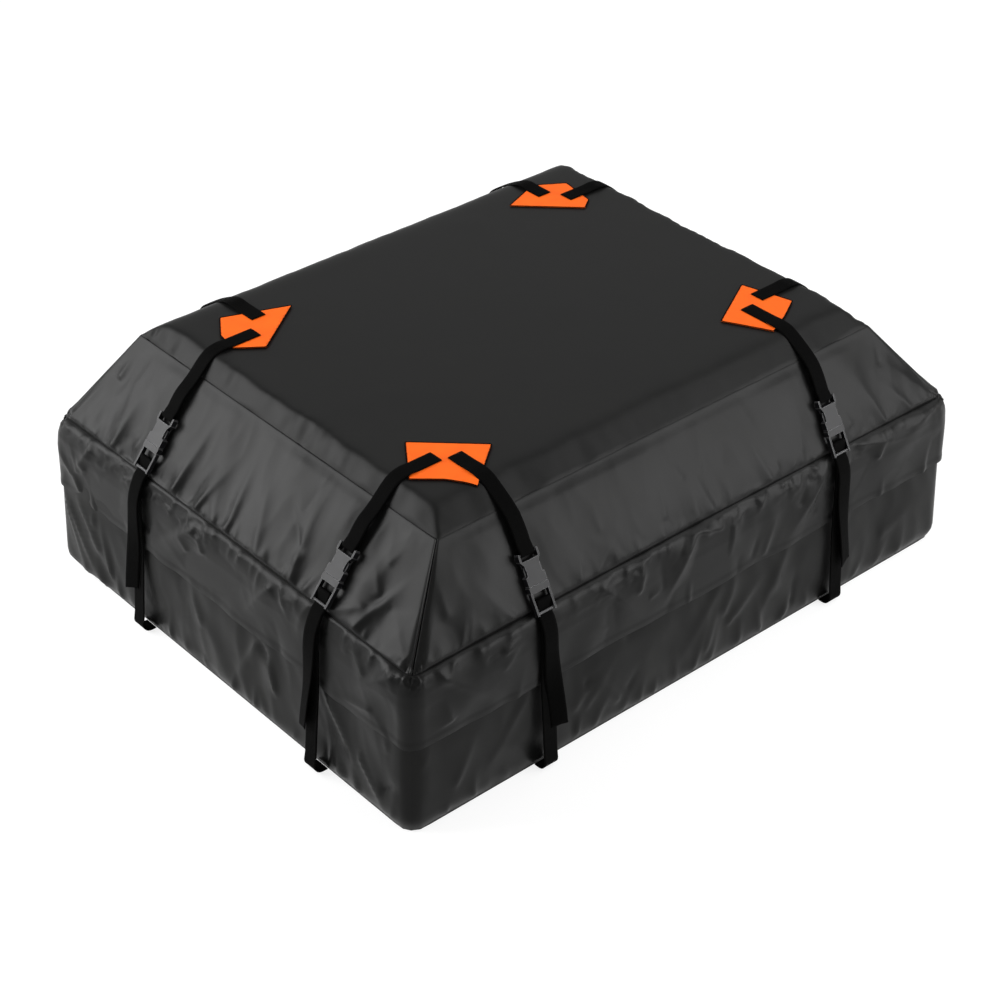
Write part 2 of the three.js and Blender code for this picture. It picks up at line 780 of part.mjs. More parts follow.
function zipSlider() {
  const outerPlate = new THREE.BoxGeometry(sliderPlate, sliderLength, sliderHeight);
  const innerPlate = outerPlate.clone().translate(-(plateFace + sliderPlate / 2), 0, 0);
  outerPlate.translate(plateFace + sliderPlate / 2, 0, 0);
  const postHeight = chainGap - 2 * runningGap;
  const post = new THREE.BoxGeometry(2 * plateFace + 1, postLength, postHeight)
    .translate(0, (sliderLength - postLength) / 2, 0);
  const archFoot = plateFace + sliderPlate - 0.4;
  const archTop = archFoot + 0.4 + archRise;
  const archHalf = archLength / 2;
  const arch = plate(shapeFrom([
    [archFoot, -archHalf],
    [archTop - 1, -archHalf],
    [archTop, 1 - archHalf],
    [archTop, archHalf - 1],
    [archTop - 1, archHalf],
    [archFoot, archHalf],
    [archFoot, archHalf - archThickness],
    [archTop - archThickness, archHalf - archThickness],
    [archTop - archThickness, archThickness - archHalf],
    [archFoot, archThickness - archHalf],
  ]), archWidth);
  const solid = toSolid(outerPlate).add(toSolid(innerPlate)).add(toSolid(post)).add(toSolid(arch));
  return toGeometry(solid);
}

// Pull: a flat tab with a window at its root; the bar that closes the window turns under the arch
function zipPull() {
  const half = pullWidth / 2;
  const tab = shapeFrom([
    [-half, 0],
    [half, 0],
    [half, pullLength - 2],
    [half - 2, pullLength],
    [2 - half, pullLength],
    [-half, pullLength - 2],
  ]);
  const windowHalf = half - pullRail;
  const opening = [
    [-windowHalf, pullThickness],
    [-windowHalf, pullWindow],
    [windowHalf, pullWindow],
    [windowHalf, pullThickness],
  ];
  tab.holes.push(new THREE.Path(opening.map(([x, y]) => new THREE.Vector2(x, y))));
  return plate(tab, pullThickness).translate(0, -pullThickness / 2, 0).rotateY(Math.PI / 2);
}

function zipSliders() {
  const front = sides.find((side) => side.name === 'front');
  const [wallReach] = halfSizes(front, wallLevel(zipHeight));
  const tapeMiddle = wallReach - fabric - seamGap - tapeThickness / 2;
  const slider = zipSlider();
  const pull = zipPull();
  const archHalf = archLength / 2;
  for (const [label, sign] of [['left', -1], ['right', 1]]) {
    const group = new THREE.Group();
    group.position.set(tapeMiddle, sign * sliderSpacing / 2, zipHeight);
    if (sign < 0) group.rotation.x = Math.PI;
    turnedGroup(front).add(group);
    addPiece(`zip_slider_${label}`, slider, castMetal, group);
    const tab = addPiece(`zip_pull_${label}`, pull, castMetal, group);
    tab.position.set(pullPlace, archHalf - archThickness - runningGap - pullThickness / 2, 0);
  }
}

basePanel();
wallPanels();
zipTapes();
zipSliders();
stormFlaps();
shoulderPanels();
topPanel();
patches();
strapSets();

export default bag;
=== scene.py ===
import math
import random

import bmesh
import bpy
import numpy as np
from mathutils import Matrix, Vector, noise


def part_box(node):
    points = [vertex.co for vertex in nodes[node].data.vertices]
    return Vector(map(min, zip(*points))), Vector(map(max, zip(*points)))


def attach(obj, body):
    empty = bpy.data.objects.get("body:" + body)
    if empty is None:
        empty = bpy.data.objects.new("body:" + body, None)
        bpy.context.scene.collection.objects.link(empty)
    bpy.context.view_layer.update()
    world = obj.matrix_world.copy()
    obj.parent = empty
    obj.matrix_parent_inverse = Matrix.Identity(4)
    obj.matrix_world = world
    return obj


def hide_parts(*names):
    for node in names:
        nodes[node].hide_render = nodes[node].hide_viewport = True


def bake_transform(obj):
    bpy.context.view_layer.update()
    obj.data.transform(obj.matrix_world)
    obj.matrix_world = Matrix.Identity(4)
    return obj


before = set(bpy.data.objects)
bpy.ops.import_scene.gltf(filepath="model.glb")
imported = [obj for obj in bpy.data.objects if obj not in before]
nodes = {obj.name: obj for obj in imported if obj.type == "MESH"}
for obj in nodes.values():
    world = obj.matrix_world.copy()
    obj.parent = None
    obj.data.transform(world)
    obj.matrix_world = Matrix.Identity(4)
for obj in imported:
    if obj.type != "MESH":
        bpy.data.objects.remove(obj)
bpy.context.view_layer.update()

# Camera: the photograph's view, from above the front left corner with a long lens.
view_azimuth = math.radians(-40.9)
view_elevation = math.radians(34.8)
view_distance = 3.6606
view_target = Vector((-0.0643, -0.0615, 0.150))
view_lens = 84.88

towards_camera = Vector((
    math.sin(view_azimuth) * math.cos(view_elevation),
    -math.cos(view_azimuth) * math.cos(view_elevation),
    math.sin(view_elevation),
))


def set_facing(name, data, way, distance):
    """Puts a camera or a lamp at a distance from the middle of the bag, looking back at it."""
    item = bpy.data.objects.new(name, data)
    item.location = view_target + distance * way
    item.rotation_mode = "QUATERNION"
    item.rotation_quaternion = (-way).to_track_quat("-Z", "Y")
    bpy.context.scene.collection.objects.link(item)
    return item


camera_data = bpy.data.cameras.new("camera")
camera_data.lens = view_lens
bpy.context.scene.camera = set_facing("camera", camera_data, towards_camera, view_distance)

# Floor and studio light: a wide pale floor, one large soft light behind the left end, three weaker
# ones for the front, the front edge of the crown and its top, and an even grey surround.
floor_half = 40.0
floor_white = 0.31
floor_lift = 0.78
surround_grey = 0.40


def made_mesh(form, name):
    """Turns a finished bmesh into a mesh."""
    mesh = bpy.data.meshes.new(name)
    form.to_mesh(mesh)
    form.free()
    return mesh


def new_material(name, gloss, roughness=0.5):
    """A material with its node tree and its shader, set to a specular level and a roughness."""
    material = bpy.data.materials.new(name)
    material.use_nodes = True
    shader = material.node_tree.nodes["Principled BSDF"]
    shader.inputs["Specular IOR Level"].default_value = gloss
    shader.inputs["Roughness"].default_value = roughness
    return material, material.node_tree, shader


def combined(tree, operation, first, second):
    """Two values put together in a material; each is a node's output or a plain number."""
    step = tree.nodes.new("ShaderNodeMath")
    step.operation = operation
    for socket, value in zip(step.inputs, (first, second)):
        if isinstance(value, bpy.types.NodeSocket):
            tree.links.new(value, socket)
        else:
            socket.default_value = value
    return step.outputs[0]


floor_form = bmesh.new()
bmesh.ops.create_grid(floor_form, x_segments=1, y_segments=1, size=floor_half)
floor_mesh = made_mesh(floor_form, "floor")
floor = bpy.data.objects.new("floor", floor_mesh)
bpy.context.scene.collection.objects.link(floor)

floor_finish, tree, shader = new_material("pale_floor", 0.1, 0.9)
shader.inputs["Base Color"].default_value = (floor_white, floor_white, floor_white, 1)
shader.inputs["Emission Color"].default_value = (1, 1, 1, 1)
seen = tree.nodes.new("ShaderNodeLightPath").outputs
seen_either = combined(tree, "MAXIMUM", seen["Is Camera Ray"], seen["Is Glossy Ray"])
seen_any = combined(tree, "MAXIMUM", seen_either, seen["Is Transmission Ray"])
lift = combined(tree, "MULTIPLY", seen_any, floor_lift)
tree.links.new(lift, shader.inputs["Emission Strength"])
floor_mesh.materials.append(floor_finish)

world = bpy.data.worlds.new("studio")
world.use_nodes = True
world.node_tree.nodes["Background"].inputs["Color"].default_value = (1, 1, 1, 1)
world.node_tree.nodes["Background"].inputs["Strength"].default_value = surround_grey
bpy.context.scene.world = world
bpy.context.scene.view_settings.view_transform = "Standard"


def soft_light(name, direction, distance, size, watts):
    """Square studio light that faces the middle of the bag and isn't seen itself."""
    data = bpy.data.lights.new(name, "AREA")
    data.shape = "SQUARE"
    data.size = size
    data.energy = watts
    lamp = set_facing(name, data, direction.normalized(), distance)
    lamp.visible_camera = False


soft_light("key_light", Vector((-0.67, 0.62, 0.44)), 3.2, 2.3, 112)
soft_light("fill_light", Vector((0.54, -0.80, 0.30)), 3.2, 2.0, 66)
soft_light("edge_light", Vector((0.54, -0.30, 0.80)), 3.2, 2.0, 30)
soft_light("top_light", Vector((0.54, 0.62, 0.57)), 4.2, 3.0, 12)

# Base: the reinforced sheet that the bag stands on, one layer of heavy coated cloth
# with rounded corners, sewn to the foot of the walls all round.
base_low, base_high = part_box("base_panel")
half_length = base_high.x
half_width = base_high.y
base_thickness = base_high.z - base_low.z
foot_radius = 0.025
corner_radius = 0.018
corner_share = 0.04
base_margin = 0.0015
base_columns = 60
base_rows = 50
side_turn = {"right": 0.0, "back": math.pi / 2, "left": math.pi, "front": -math.pi / 2}
end_names = ("right", "left")


def turned(points, side):
    """Points modelled facing +X, turned to their own side of the bag."""
    cosine = math.cos(side_turn[side])
    sine = math.sin(side_turn[side])
    return np.column_stack([
        cosine * points[:, 0] - sine * points[:, 1],
        sine * points[:, 0] + cosine * points[:, 1],
        points[:, 2],
    ])


def side_line(share, reach, span, radius):
    """Plan line of a side, corner middle to corner middle: place out and across, outward way."""
    past = (np.abs(share) - 1 + corner_share) / corner_share
    angle = np.clip(past, 0, 1) * math.pi / 4
    straight = (span - radius) * np.clip(share / (1 - corner_share), -1, 1)
    out_x = np.cos(angle)
    out_y = np.sign(share) * np.sin(angle)
    return reach - radius + radius * out_x, straight + radius * out_y, out_x, out_y


def corner_columns(across):
    """Share of the side, -1 to 1, with the columns closer together round the corners."""
    edge = 0.06
    gap = np.minimum(across, 1 - across)
    near = corner_share * (np.clip(gap, 0, edge) / edge) ** 1.7
    far = (1 - corner_share) * np.clip(gap - edge, 0, 0.5) / (0.5 - edge)
    return np.sign(across - 0.5) * (1 - near - far)


def seam_rows(up, length, band):
    """Distance from the lower seam, with the rows closer together within a band of both seams."""
    edge = 0.14
    low = band * (np.clip(up, 0, edge) / edge) ** 2
    high = band * (np.clip(1 - up, 0, edge) / edge) ** 2
    middle = (length - 2 * band) * (np.clip(up, edge, 1 - edge) - edge) / (1 - 2 * edge)
    return low + middle + band - high


def cloth_mesh(name, columns, rows, place):
    """A grid of cloth; place turns shares across and up into the points' made and flat positions."""
    form = bmesh.new()
    bmesh.ops.create_grid(form, x_segments=columns, y_segments=rows, size=0.5)
    form.verts.index_update()
    shares = np.array([vert.co[:2] for vert in form.verts]) + 0.5
    points, flat = place(shares[:, 0], shares[:, 1])
    for vert, point in zip(form.verts, points):
        vert.co = point
    cut = form.loops.layers.uv.new("cloth")
    for face in form.faces:
        face.smooth = True
        for loop in face.loops:
            loop[cut].uv = flat[loop.vert.index]
    return made_mesh(form, name)


def add_piece(name, mesh, finish, body, node=None):
    """Puts a finished mesh in the scene on its body, in place of its plain solid."""
    mesh.materials.clear()
    mesh.materials.append(finish)
    piece = bpy.data.objects.new(name, mesh)
    bpy.context.scene.collection.objects.link(piece)
    if body:
        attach(piece, body)
    if node:
        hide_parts(node)
    return piece


def thicken(piece, thickness, offset=-1.0):
    """Gives a sheet its thickness; -1 grows it inwards from the face that shows."""
    layer = piece.modifiers.new("thickness", "SOLIDIFY")
    layer.thickness = thickness
    layer.offset = offset
    layer.use_rim = True


def cloudy(tree, scale, detail=2.0):
    """Noise fixed to the piece itself, for its tone, its shine and its grain."""
    clouds = tree.nodes.new("ShaderNodeTexNoise")
    clouds.inputs["Scale"].default_value = scale
    clouds.inputs["Detail"].default_value = detail
    where = tree.nodes.new("ShaderNodeTexCoord")
    tree.links.new(where.outputs["Object"], clouds.inputs["Vector"])
    return clouds


def woven(tree, across_pitch, along_pitch, operation):
    """Height of a weave that lies square to the flat cloth, from the pitches of its yarns."""
    band_scale = 0.314
    yarns = []
    for direction, pitch in (("X", across_pitch), ("Y", along_pitch)):
        yarn = tree.nodes.new("ShaderNodeTexWave")
        yarn.bands_direction = direction
        yarn.inputs["Scale"].default_value = band_scale / pitch
        where = tree.nodes.new("ShaderNodeTexCoord")
        tree.links.new(where.outputs["UV"], yarn.inputs["Vector"])
        yarns.append(yarn.outputs["Fac"])
    return combined(tree, operation, *yarns)


def run_colours(tree, pattern, dark, light, into, low=0.0, high=1.0):
    """Colour that runs from dark to light with a pattern, between its low and high values."""
    ramp = tree.nodes.new("ShaderNodeValToRGB")
    for stop, place, colour in zip(ramp.color_ramp.elements, (low, high), (dark, light)):
        stop.position = place
        stop.color = (*colour, 1)
    tree.links.new(pattern, ramp.inputs["Fac"])
    tree.links.new(ramp.outputs["Color"], into)


def run_values(tree, pattern, least, most, into):
    """Value that runs from least to most with a pattern."""
    spread = tree.nodes.new("ShaderNodeMapRange")
    spread.inputs["To Min"].default_value = least
    spread.inputs["To Max"].default_value = most
    tree.links.new(pattern, spread.inputs["Value"])
    tree.links.new(spread.outputs["Result"], into)


def raised(tree, pattern, strength, distance, into):
    """Bump raised by a pattern; its own normal input can take another bump."""
    bump = tree.nodes.new("ShaderNodeBump")
    bump.inputs["Strength"].default_value = strength
    bump.inputs["Distance"].default_value = distance
    tree.links.new(pattern, bump.inputs["Height"])
    tree.links.new(bump.outputs["Normal"], into)
    return bump


def coated_cloth(name, grey, gloss, weave_pitch, crinkle, satin):
    """Coated polyester: a fine weave under a satin skin, crinkled, uneven in tone and shine."""
    finish, tree, shader = new_material(name, gloss)
    tone = cloudy(tree, 9.0, 5.0).outputs["Fac"]
    dark = (grey * 0.82, grey * 0.83, grey * 0.82)
    light = (grey * 1.18, grey * 1.18, grey * 1.13)
    run_colours(tree, tone, dark, light, shader.inputs["Base Color"], 0.3, 0.72)
    run_values(tree, tone, satin, satin + 0.13, shader.inputs["Roughness"])
    wrinkle = cloudy(tree, 13.0, 5.0)
    wrinkle.noise_type = "RIDGED_MULTIFRACTAL"
    wrinkle.inputs["Roughness"].default_value = 0.42
    wrinkle_bump = raised(tree, wrinkle.outputs["Fac"], 0.5, crinkle, shader.inputs["Normal"])
    weave = woven(tree, weave_pitch, weave_pitch, "MAXIMUM")
    raised(tree, weave, 0.12, 0.0002, wrinkle_bump.inputs["Normal"])
    return finish


base_cloth = coated_cloth("base_cloth", 0.010, 0.2, 0.0014, 0.0003, 0.45)


def base_place(across, up):
    """Square grid pulled out to the bag's footprint, its corners rounded."""
    x = 2 * across - 1
    y = 2 * up - 1
    flat = np.column_stack([x * half_length, y * half_width])
    straight = np.array([half_length - foot_radius, half_width - foot_radius])
    past = np.clip(np.abs(flat) - straight, 0, None)
    pull = np.clip(np.hypot(past[:, 0], past[:, 1]) / foot_radius, 1, None)
    footprint = np.sign(flat) * (np.minimum(np.abs(flat), straight) + past / pull[:, None])
    footprint *= 1 - base_margin / half_length
    return np.column_stack([footprint, np.full_like(x, base_thickness)]), flat


base_mesh = cloth_mesh("base", base_columns, base_rows, base_place)
base = add_piece("base", base_mesh, base_cloth, "bag", "base_panel")
thicken(base, base_thickness)

# Walls: four panels of coated cloth sewn together at the corners, standing a little slack
# between the base and the lower zip tape, with long soft folds and a few sharp slanting creases.
wide_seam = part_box("right_shoulder")[0].z
wide_reach = {"end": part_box("right_shoulder")[1].x, "side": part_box("back_shoulder")[1].y}
wall_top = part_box("right_wall")[1].z
flap_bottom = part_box("right_flap")[0].z
corner_swell = {
    "front_left": 0.0040, "front_right": 0.0045, "back_left": 0.0100, "back_right": 0.0055,
}
side_corners = {
    "right": ("front_right", "back_right"), "back": ("back_right", "back_left"),
    "left": ("back_left", "front_left"), "front": ("front_left", "front_right"),
}
panel_columns = {"right": 210, "back": 240, "left": 270, "front": 330}
wall_column_share = 0.85
wall_rows = 38
wall_slant = {"left": -0.35, "front": 0.35, "right": -0.2, "back": 0.3}
wall_folds_per_metre = 56
wall_belly = 0.0035
cloth_thickness = 0.0015
outer_cloth = coated_cloth("outer_cloth", 0.0068, 0.132, 0.0009, 0.0012, 0.30)
# The walls' copy of the same cloth has a lighter base colour and less gloss: a painted tone set for
# how the walls are lit.
wall_cloth_painted_tone = coated_cloth("wall_cloth_painted_tone", 0.0105, 0.088, 0.0009, 0.0012, 0.28)
fold_seed = {"right": 11, "back": 23, "left": 37, "front": 41}


def kinds(side):
    """What a side closes, the end or the side of the bag, and what its neighbours close."""
    return ("end", "side") if side in end_names else ("side", "end")


wide_span = {side: wide_reach[kinds(side)[1]] for side in side_turn}


def wall_sizes(side, height):
    """Reach and half span of the upright part of the bag at a height."""
    share = height / wide_seam
    length = half_length + (wide_reach["end"] - half_length) * share
    width = half_width + (wide_reach["side"] - half_width) * share
    return (length, width) if side in end_names else (width, length)


def soft_noise(along, climb, size, stretch, seed):
    """Smooth random waves of a given size along the side, drawn out up the cloth."""
    return np.array([
        noise.noise(Vector((a / size, c / (size * stretch), seed)))
        for a, c in zip(along, climb)
    ])


def creased(along, climb, size, stretch, seed):
    """Nearly flat facets that meet in sharp raised creases, at two sizes; about -1 to 1."""
    large = np.abs(soft_noise(along, climb, size, stretch, seed))
    small = np.abs(soft_noise(along, climb, size * 0.45, stretch, seed + 1.7))
    return 0.75 - 2.2 * large - 0.9 * small


def fold_relief(along, climb, folds):
    """Raised folds from root to tip: steep on one side, soft on the other, fading at the tip."""
    relief = np.zeros_like(along)
    for root, tip, height, root_width, tip_width in folds:
        run = np.array([tip[0] - root[0], tip[1] - root[1]])
        length = math.hypot(*run)
        way = ((along - root[0]) * run[0] + (climb - root[1]) * run[1]) / length ** 2
        off = ((along - root[0]) * run[1] - (climb - root[1]) * run[0]) / length
        inside = np.clip(way, 0, 1)
        width = root_width + (tip_width - root_width) * inside
        width = np.where(off > 0, width * 0.7, width * 1.3)
        start = np.clip((way + 0.06) / 0.12, 0, 1)
        finish = np.clip((1.1 - way) / 0.9, 0, 1)
        fade = start * start * (3 - 2 * start) * finish * finish * (3 - 2 * finish)
        relief += height * fade * np.exp(-np.abs(off / width) ** 1.25)
    return relief


def folds_from(rows):
    """Folds listed in mm: root along and up, tip along and up, height, width at root and tip."""
    metres = [[value / 1000 for value in row] for row in rows]
    return [(row[0:2], row[2:4], *row[4:]) for row in metres]


def gathers(chance, half_span, spacing, lengths, heights, root_climb, upward, lean):
    """Folds that start at a seam, unevenly spaced along it, each with its own length and slant."""
    folds = []
    place = -half_span + spacing * chance.random()
    while place < half_span:
        length = chance.uniform(*lengths) * (0.5 + chance.random())
        slant = chance.uniform(-lean, lean) * length
        root = (place, root_climb)
        tip = (place + slant, root_climb + upward * length)
        width = chance.uniform(0.003, 0.006)
        folds.append((root, tip, chance.uniform(*heights), width, width + 0.14 * length))
        place += spacing * chance.uniform(0.55, 1.5)
    return folds


def scattered(chance, half_span, low, high, count, lengths, heights, slant):
    """Folds strewn over a panel, most of them near one slant, some of them sunk."""
    folds = []
    for _ in range(count):
        length = chance.uniform(*lengths)
        angle = slant + chance.gauss(0, 0.5)
        across = chance.uniform(-half_span, half_span)
        climb = chance.uniform(low, high)
        reach = (0.5 * length * math.sin(angle), 0.5 * length * math.cos(angle))
        height = chance.uniform(*heights) * chance.choice((1, 1, -0.8))
        width = chance.uniform(0.004, 0.009)
        root = (across - reach[0], climb - reach[1])
        tip = (across + reach[0], climb + reach[1])
        folds.append((root, tip, height, width, width + 0.12 * length))
    return folds


def hump(value, middle, width):
    """1 at the middle, falling off smoothly on both sides over about a width."""
    return np.exp(-((value - middle) / width) ** 2)


def fading(distance, length):
    """1 at a seam, falling off away from it over about a length."""
    return np.exp(-distance / length)


def capped(lift, cap):
    """Keeps the cloth below a height without a hard edge, and lets it sink freely."""
    return np.where(lift > 0, cap * np.tanh(lift / cap), lift)


def ease(value, low, high):
    """Smooth step from 0 at low to 1 at high."""
    share = np.clip((value - low) / (high - low), 0, 1)
    return share * share * (3 - 2 * share)


slanting_creases = {
    "left": [
        (240, 155, 335, 35, 5, 5, 11), (325, 80, 392, 12, 4.2, 3, 7), (100, 155, 20, 20, 4, 6, 12),
        (-420, 150, -362, 20, 4.6, 3, 7), (-402, 130, -325, 15, 4.2, 3, 7),
        (-375, 150, -290, 40, 4.6, 4, 9),
    ],
    "front": [
        (-330, 150, -420, 40, 3, 6, 12), (60, 170, -50, 30, 3.5, 10, 18),
        (190, 160, 120, 20, 3.5, 8, 16),
    ],
    "right": [
        (300, 170, 220, 20, 3, 6, 12), (-250, 180, -180, 30, 3, 5, 10),
    ],
    "back": [
        (350, 180, 280, 20, 3, 6, 12), (-100, 180, -190, 30, 3.5, 7, 14),
        (-420, 160, -330, 30, 3, 6, 10),
    ],
}


def swelling(side, share, span):
    """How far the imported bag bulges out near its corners, halved towards the middle of a side."""
    first, last = (corner_swell[corner] for corner in side_corners[side])
    near = first + (last - first) * ease(share, -0.4, 0.4)
    return near * (1 - 0.5 * ease((1 - np.abs(share)) * span, 0.05, 0.20))


def wall_place(side):
    """Placing of one wall panel, foot to top."""
    chance = random.Random(fold_seed[side])
    foot_height = base_thickness * 0.5
    climb_all = wall_top - foot_height
    seed = fold_seed[side]

    folds = folds_from(slanting_creases[side]) + gathers(
        chance, 0.95 * wide_span[side], 0.050, (0.03, 0.09), (0.0012, 0.0032), foot_height, 1,
        0.5,
    ) + scattered(
        chance, wide_span[side], 0.02, wall_top, round(wall_folds_per_metre * wide_span[side]),
        (0.03, 0.12), (0.0016, 0.0046), wall_slant[side],
    )

    def place(across, up):
        share = corner_columns(across)
        height = foot_height + seam_rows(up, climb_all, 0.004)
        reach, span = wall_sizes(side, height)
        radius = foot_radius + (corner_radius - foot_radius) * ease(height, 0, 0.030)
        x, y, out_x, out_y = side_line(share, reach, span, radius)
        along = share * span
        middle = np.sin(math.pi * np.clip((height - foot_height) / climb_all, 0, 1)) ** 0.7
        lift = wall_belly * middle
        lift += 0.0042 * soft_noise(along, height, 0.17, 1.3, seed)
        lift += 0.0034 * soft_noise(along + 0.35 * height, height, 0.065, 2.4, seed + 3.1)
        lift += 0.0020 * creased(along + 0.25 * height, height, 0.085, 1.8, seed + 8.4)
        lift += 1.55 * fold_relief(along, height, folds)
        corner_gap = (1 - np.abs(share)) * span
        under_flap = ease(height, flap_bottom - 0.030, flap_bottom + 0.002)
        lift = capped(lift, 0.0090 - 0.0052 * under_flap)
        lift *= ease(corner_gap, 0.002, 0.030) * ease(height - foot_height, 0, 0.012)
        lift += swelling(side, share, span) * ease(height, 0, 0.022)
        lift -= 0.0020 * fading(height - foot_height, 0.003)
        points = np.column_stack([x + out_x * lift, y + out_y * lift, height])
        return turned(points, side), np.column_stack([along, height])

    return place


for side in side_turn:
    columns = round(wall_column_share * panel_columns[side])
    wall_mesh = cloth_mesh(f"wall_{side}", columns, wall_rows, wall_place(side))
    wall = add_piece(f"wall_{side}", wall_mesh, wall_cloth_painted_tone, "bag", f"{side}_wall")
    thicken(wall, cloth_thickness)

# Zip: two woven tapes round the bag just inside the wall, each with a coil along its edge,
# and two cast sliders with flat pulls that meet in the middle of the front.
zip_height = (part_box("zip_upper_tape")[0].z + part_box("zip_lower_tape")[1].z) / 2

slider_bevel = 0.0003
flat_angle = math.radians(2)
sharp_angle = math.radians(25)

tape_cloth, tree, shader = new_material("zip_tape", 0.25, 0.8)
tape_tone = cloudy(tree, 900.0).outputs["Fac"]
run_colours(tree, tape_tone, (0.006, 0.006, 0.006), (0.016, 0.016, 0.016), shader.inputs["Base Color"])
raised(tree, tape_tone, 0.4, 0.0003, shader.inputs["Normal"])

zip_metal, tree, shader = new_material("zip_metal", 0.5)
shader.inputs["Metallic"].default_value = 1.0
wear = cloudy(tree, 260.0, 4.0).outputs["Fac"]
run_colours(tree, wear, (0.10, 0.10, 0.105), (0.19, 0.19, 0.20), shader.inputs["Base Color"])
run_values(tree, wear, 0.25, 0.45, shader.inputs["Roughness"])


def merged_copy(node):
    """A bmesh of a node's form with its loose triangles merged back into flat faces."""
    form = bmesh.new()
    form.from_mesh(nodes[node].data)
    bmesh.ops.remove_doubles(form, verts=form.verts, dist=1e-5)
    bmesh.ops.dissolve_limit(form, angle_limit=flat_angle, verts=form.verts, edges=form.edges)
    return form


def bevelled_piece(name, node, finish, body, width):
    """The node's own form with its sharp edges rounded and marked; the buckles' material makes these
    faces smoother and paints a pale highlight colour on them.
    """
    form = merged_copy(node)
    polish_and_painted_highlight = form.faces.layers.float.new("polish_and_painted_highlight")
    corners = [
        edge for edge in form.edges
        if len(edge.link_faces) == 2 and edge.calc_face_angle(0) > sharp_angle
    ]
    bevel = bmesh.ops.bevel(
        form, geom=corners, offset=width, segments=2, profile=0.5,
        affect="EDGES", material=-1, clamp_overlap=True,
    )
    for face in bevel["faces"]:
        face[polish_and_painted_highlight] = 1.0
    bmesh.ops.triangulate(form, faces=[face for face in form.faces if len(face.verts) > 4])
    for face in form.faces:
        face.smooth = True
    piece = add_piece(name, made_mesh(form, name), finish, body, node)
    weighted = piece.modifiers.new("flat_faces", "WEIGHTED_NORMAL")
    weighted.keep_sharp = True
    return piece


for node in ("zip_upper_tape", "zip_lower_tape"):
    nodes[node].data.materials.clear()
    nodes[node].data.materials.append(tape_cloth)
for label in ("left", "right"):
    for part in ("slider", "pull"):
        name = f"{part}_{label}"
        bevelled_piece(name, f"zip_{name}", zip_metal, name, slider_bevel)

# Storm flaps: strips of the same cloth sewn in with the wide seam. They swell out over the zip,
# crumple just under the seam, hang slack and end in a narrow turned hem.
flap_depth = wide_seam - flap_bottom
flap_rows = 44
flap_crumple = {"left": 1.0, "front": 0.55, "right": 0.8, "back": 0.7}
flap_slant = {"left": -0.6, "front": 0.5, "right": -0.4, "back": 0.4}
flap_folds_per_metre = 44
stand_drops = [0, 0.004, 0.010, 0.018, 0.026, 0.045, 0.080, 0.115]
stand_offs = [0.0012, 0.0031, 0.0056, 0.0082, 0.0099, 0.0112, 0.0106, 0.0096]
seam_rise = 0.005
seam_tuck = 0.0066
seam_round = 0.0015
strap_places = {side: [] for side in side_turn}
for fore in ("front", "back"):
    for end_word in ("left", "right"):
        for kind, side in (("end", end_word), ("side", fore)):
            low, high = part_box(f"upper_strap_{fore}_{end_word}_{kind}")
            middle = Matrix.Rotation(-side_turn[side], 3, "Z") @ ((low + high) / 2)
            strap_places[side].append((f"{fore}_{end_word}_{kind}", middle.y))


def seam_lift(share):
    """The wide seam bows up a little between the corners."""
    return seam_rise * (1 - share ** 2) ** 0.7


def strap_gap(side, along):
    """Distance along a side to the middle of its nearest strap."""
    return np.minimum(*[np.abs(along - place) for _, place in strap_places[side]])


def clear_of_straps(side, along, near, far):
    """How far the cloth may stand out: near where a strap crosses, far between the straps."""
    return near + (far - near) * ease(strap_gap(side, along), 0.018, 0.070)


flap_creases = {
    "left": [
        (400, -10, 300, -85, 4, 8, 16), (360, -85, 270, -110, 3, 5, 10),
        (130, -15, 60, -95, 3.5, 8, 18), (-60, -20, -170, -100, 3.5, 8, 18),
        (-330, -10, -390, -95, 3.5, 8, 14),
    ],
    "front": [
        (-490, -15, -390, -100, 3.5, 8, 16), (-200, -12, -120, -95, 3.5, 7, 15),
        (-20, -4, 75, -30, 4.5, 5, 10), (-20, -4, -80, -95, 4.5, 6, 14),
        (60, -8, 50, -100, 3.5, 8, 16), (260, -10, 180, -100, 4, 6, 14),
        (330, -6, 450, -32, 3.5, 6, 10), (505, -6, 430, -20, 3, 5, 10),
    ],
    "right": [
        (-350, -10, -290, -90, 3.5, 8, 16), (60, -10, -10, -100, 4, 7, 16),
        (330, -10, 390, -95, 3.5, 8, 16),
    ],
    "back": [
        (-430, -12, -350, -100, 3.5, 8, 16), (-50, -10, -140, -100, 4, 7, 16),
        (170, -6, 230, -60, 3.5, 6, 14), (430, -10, 370, -95, 3.5, 8, 16),
    ],
}


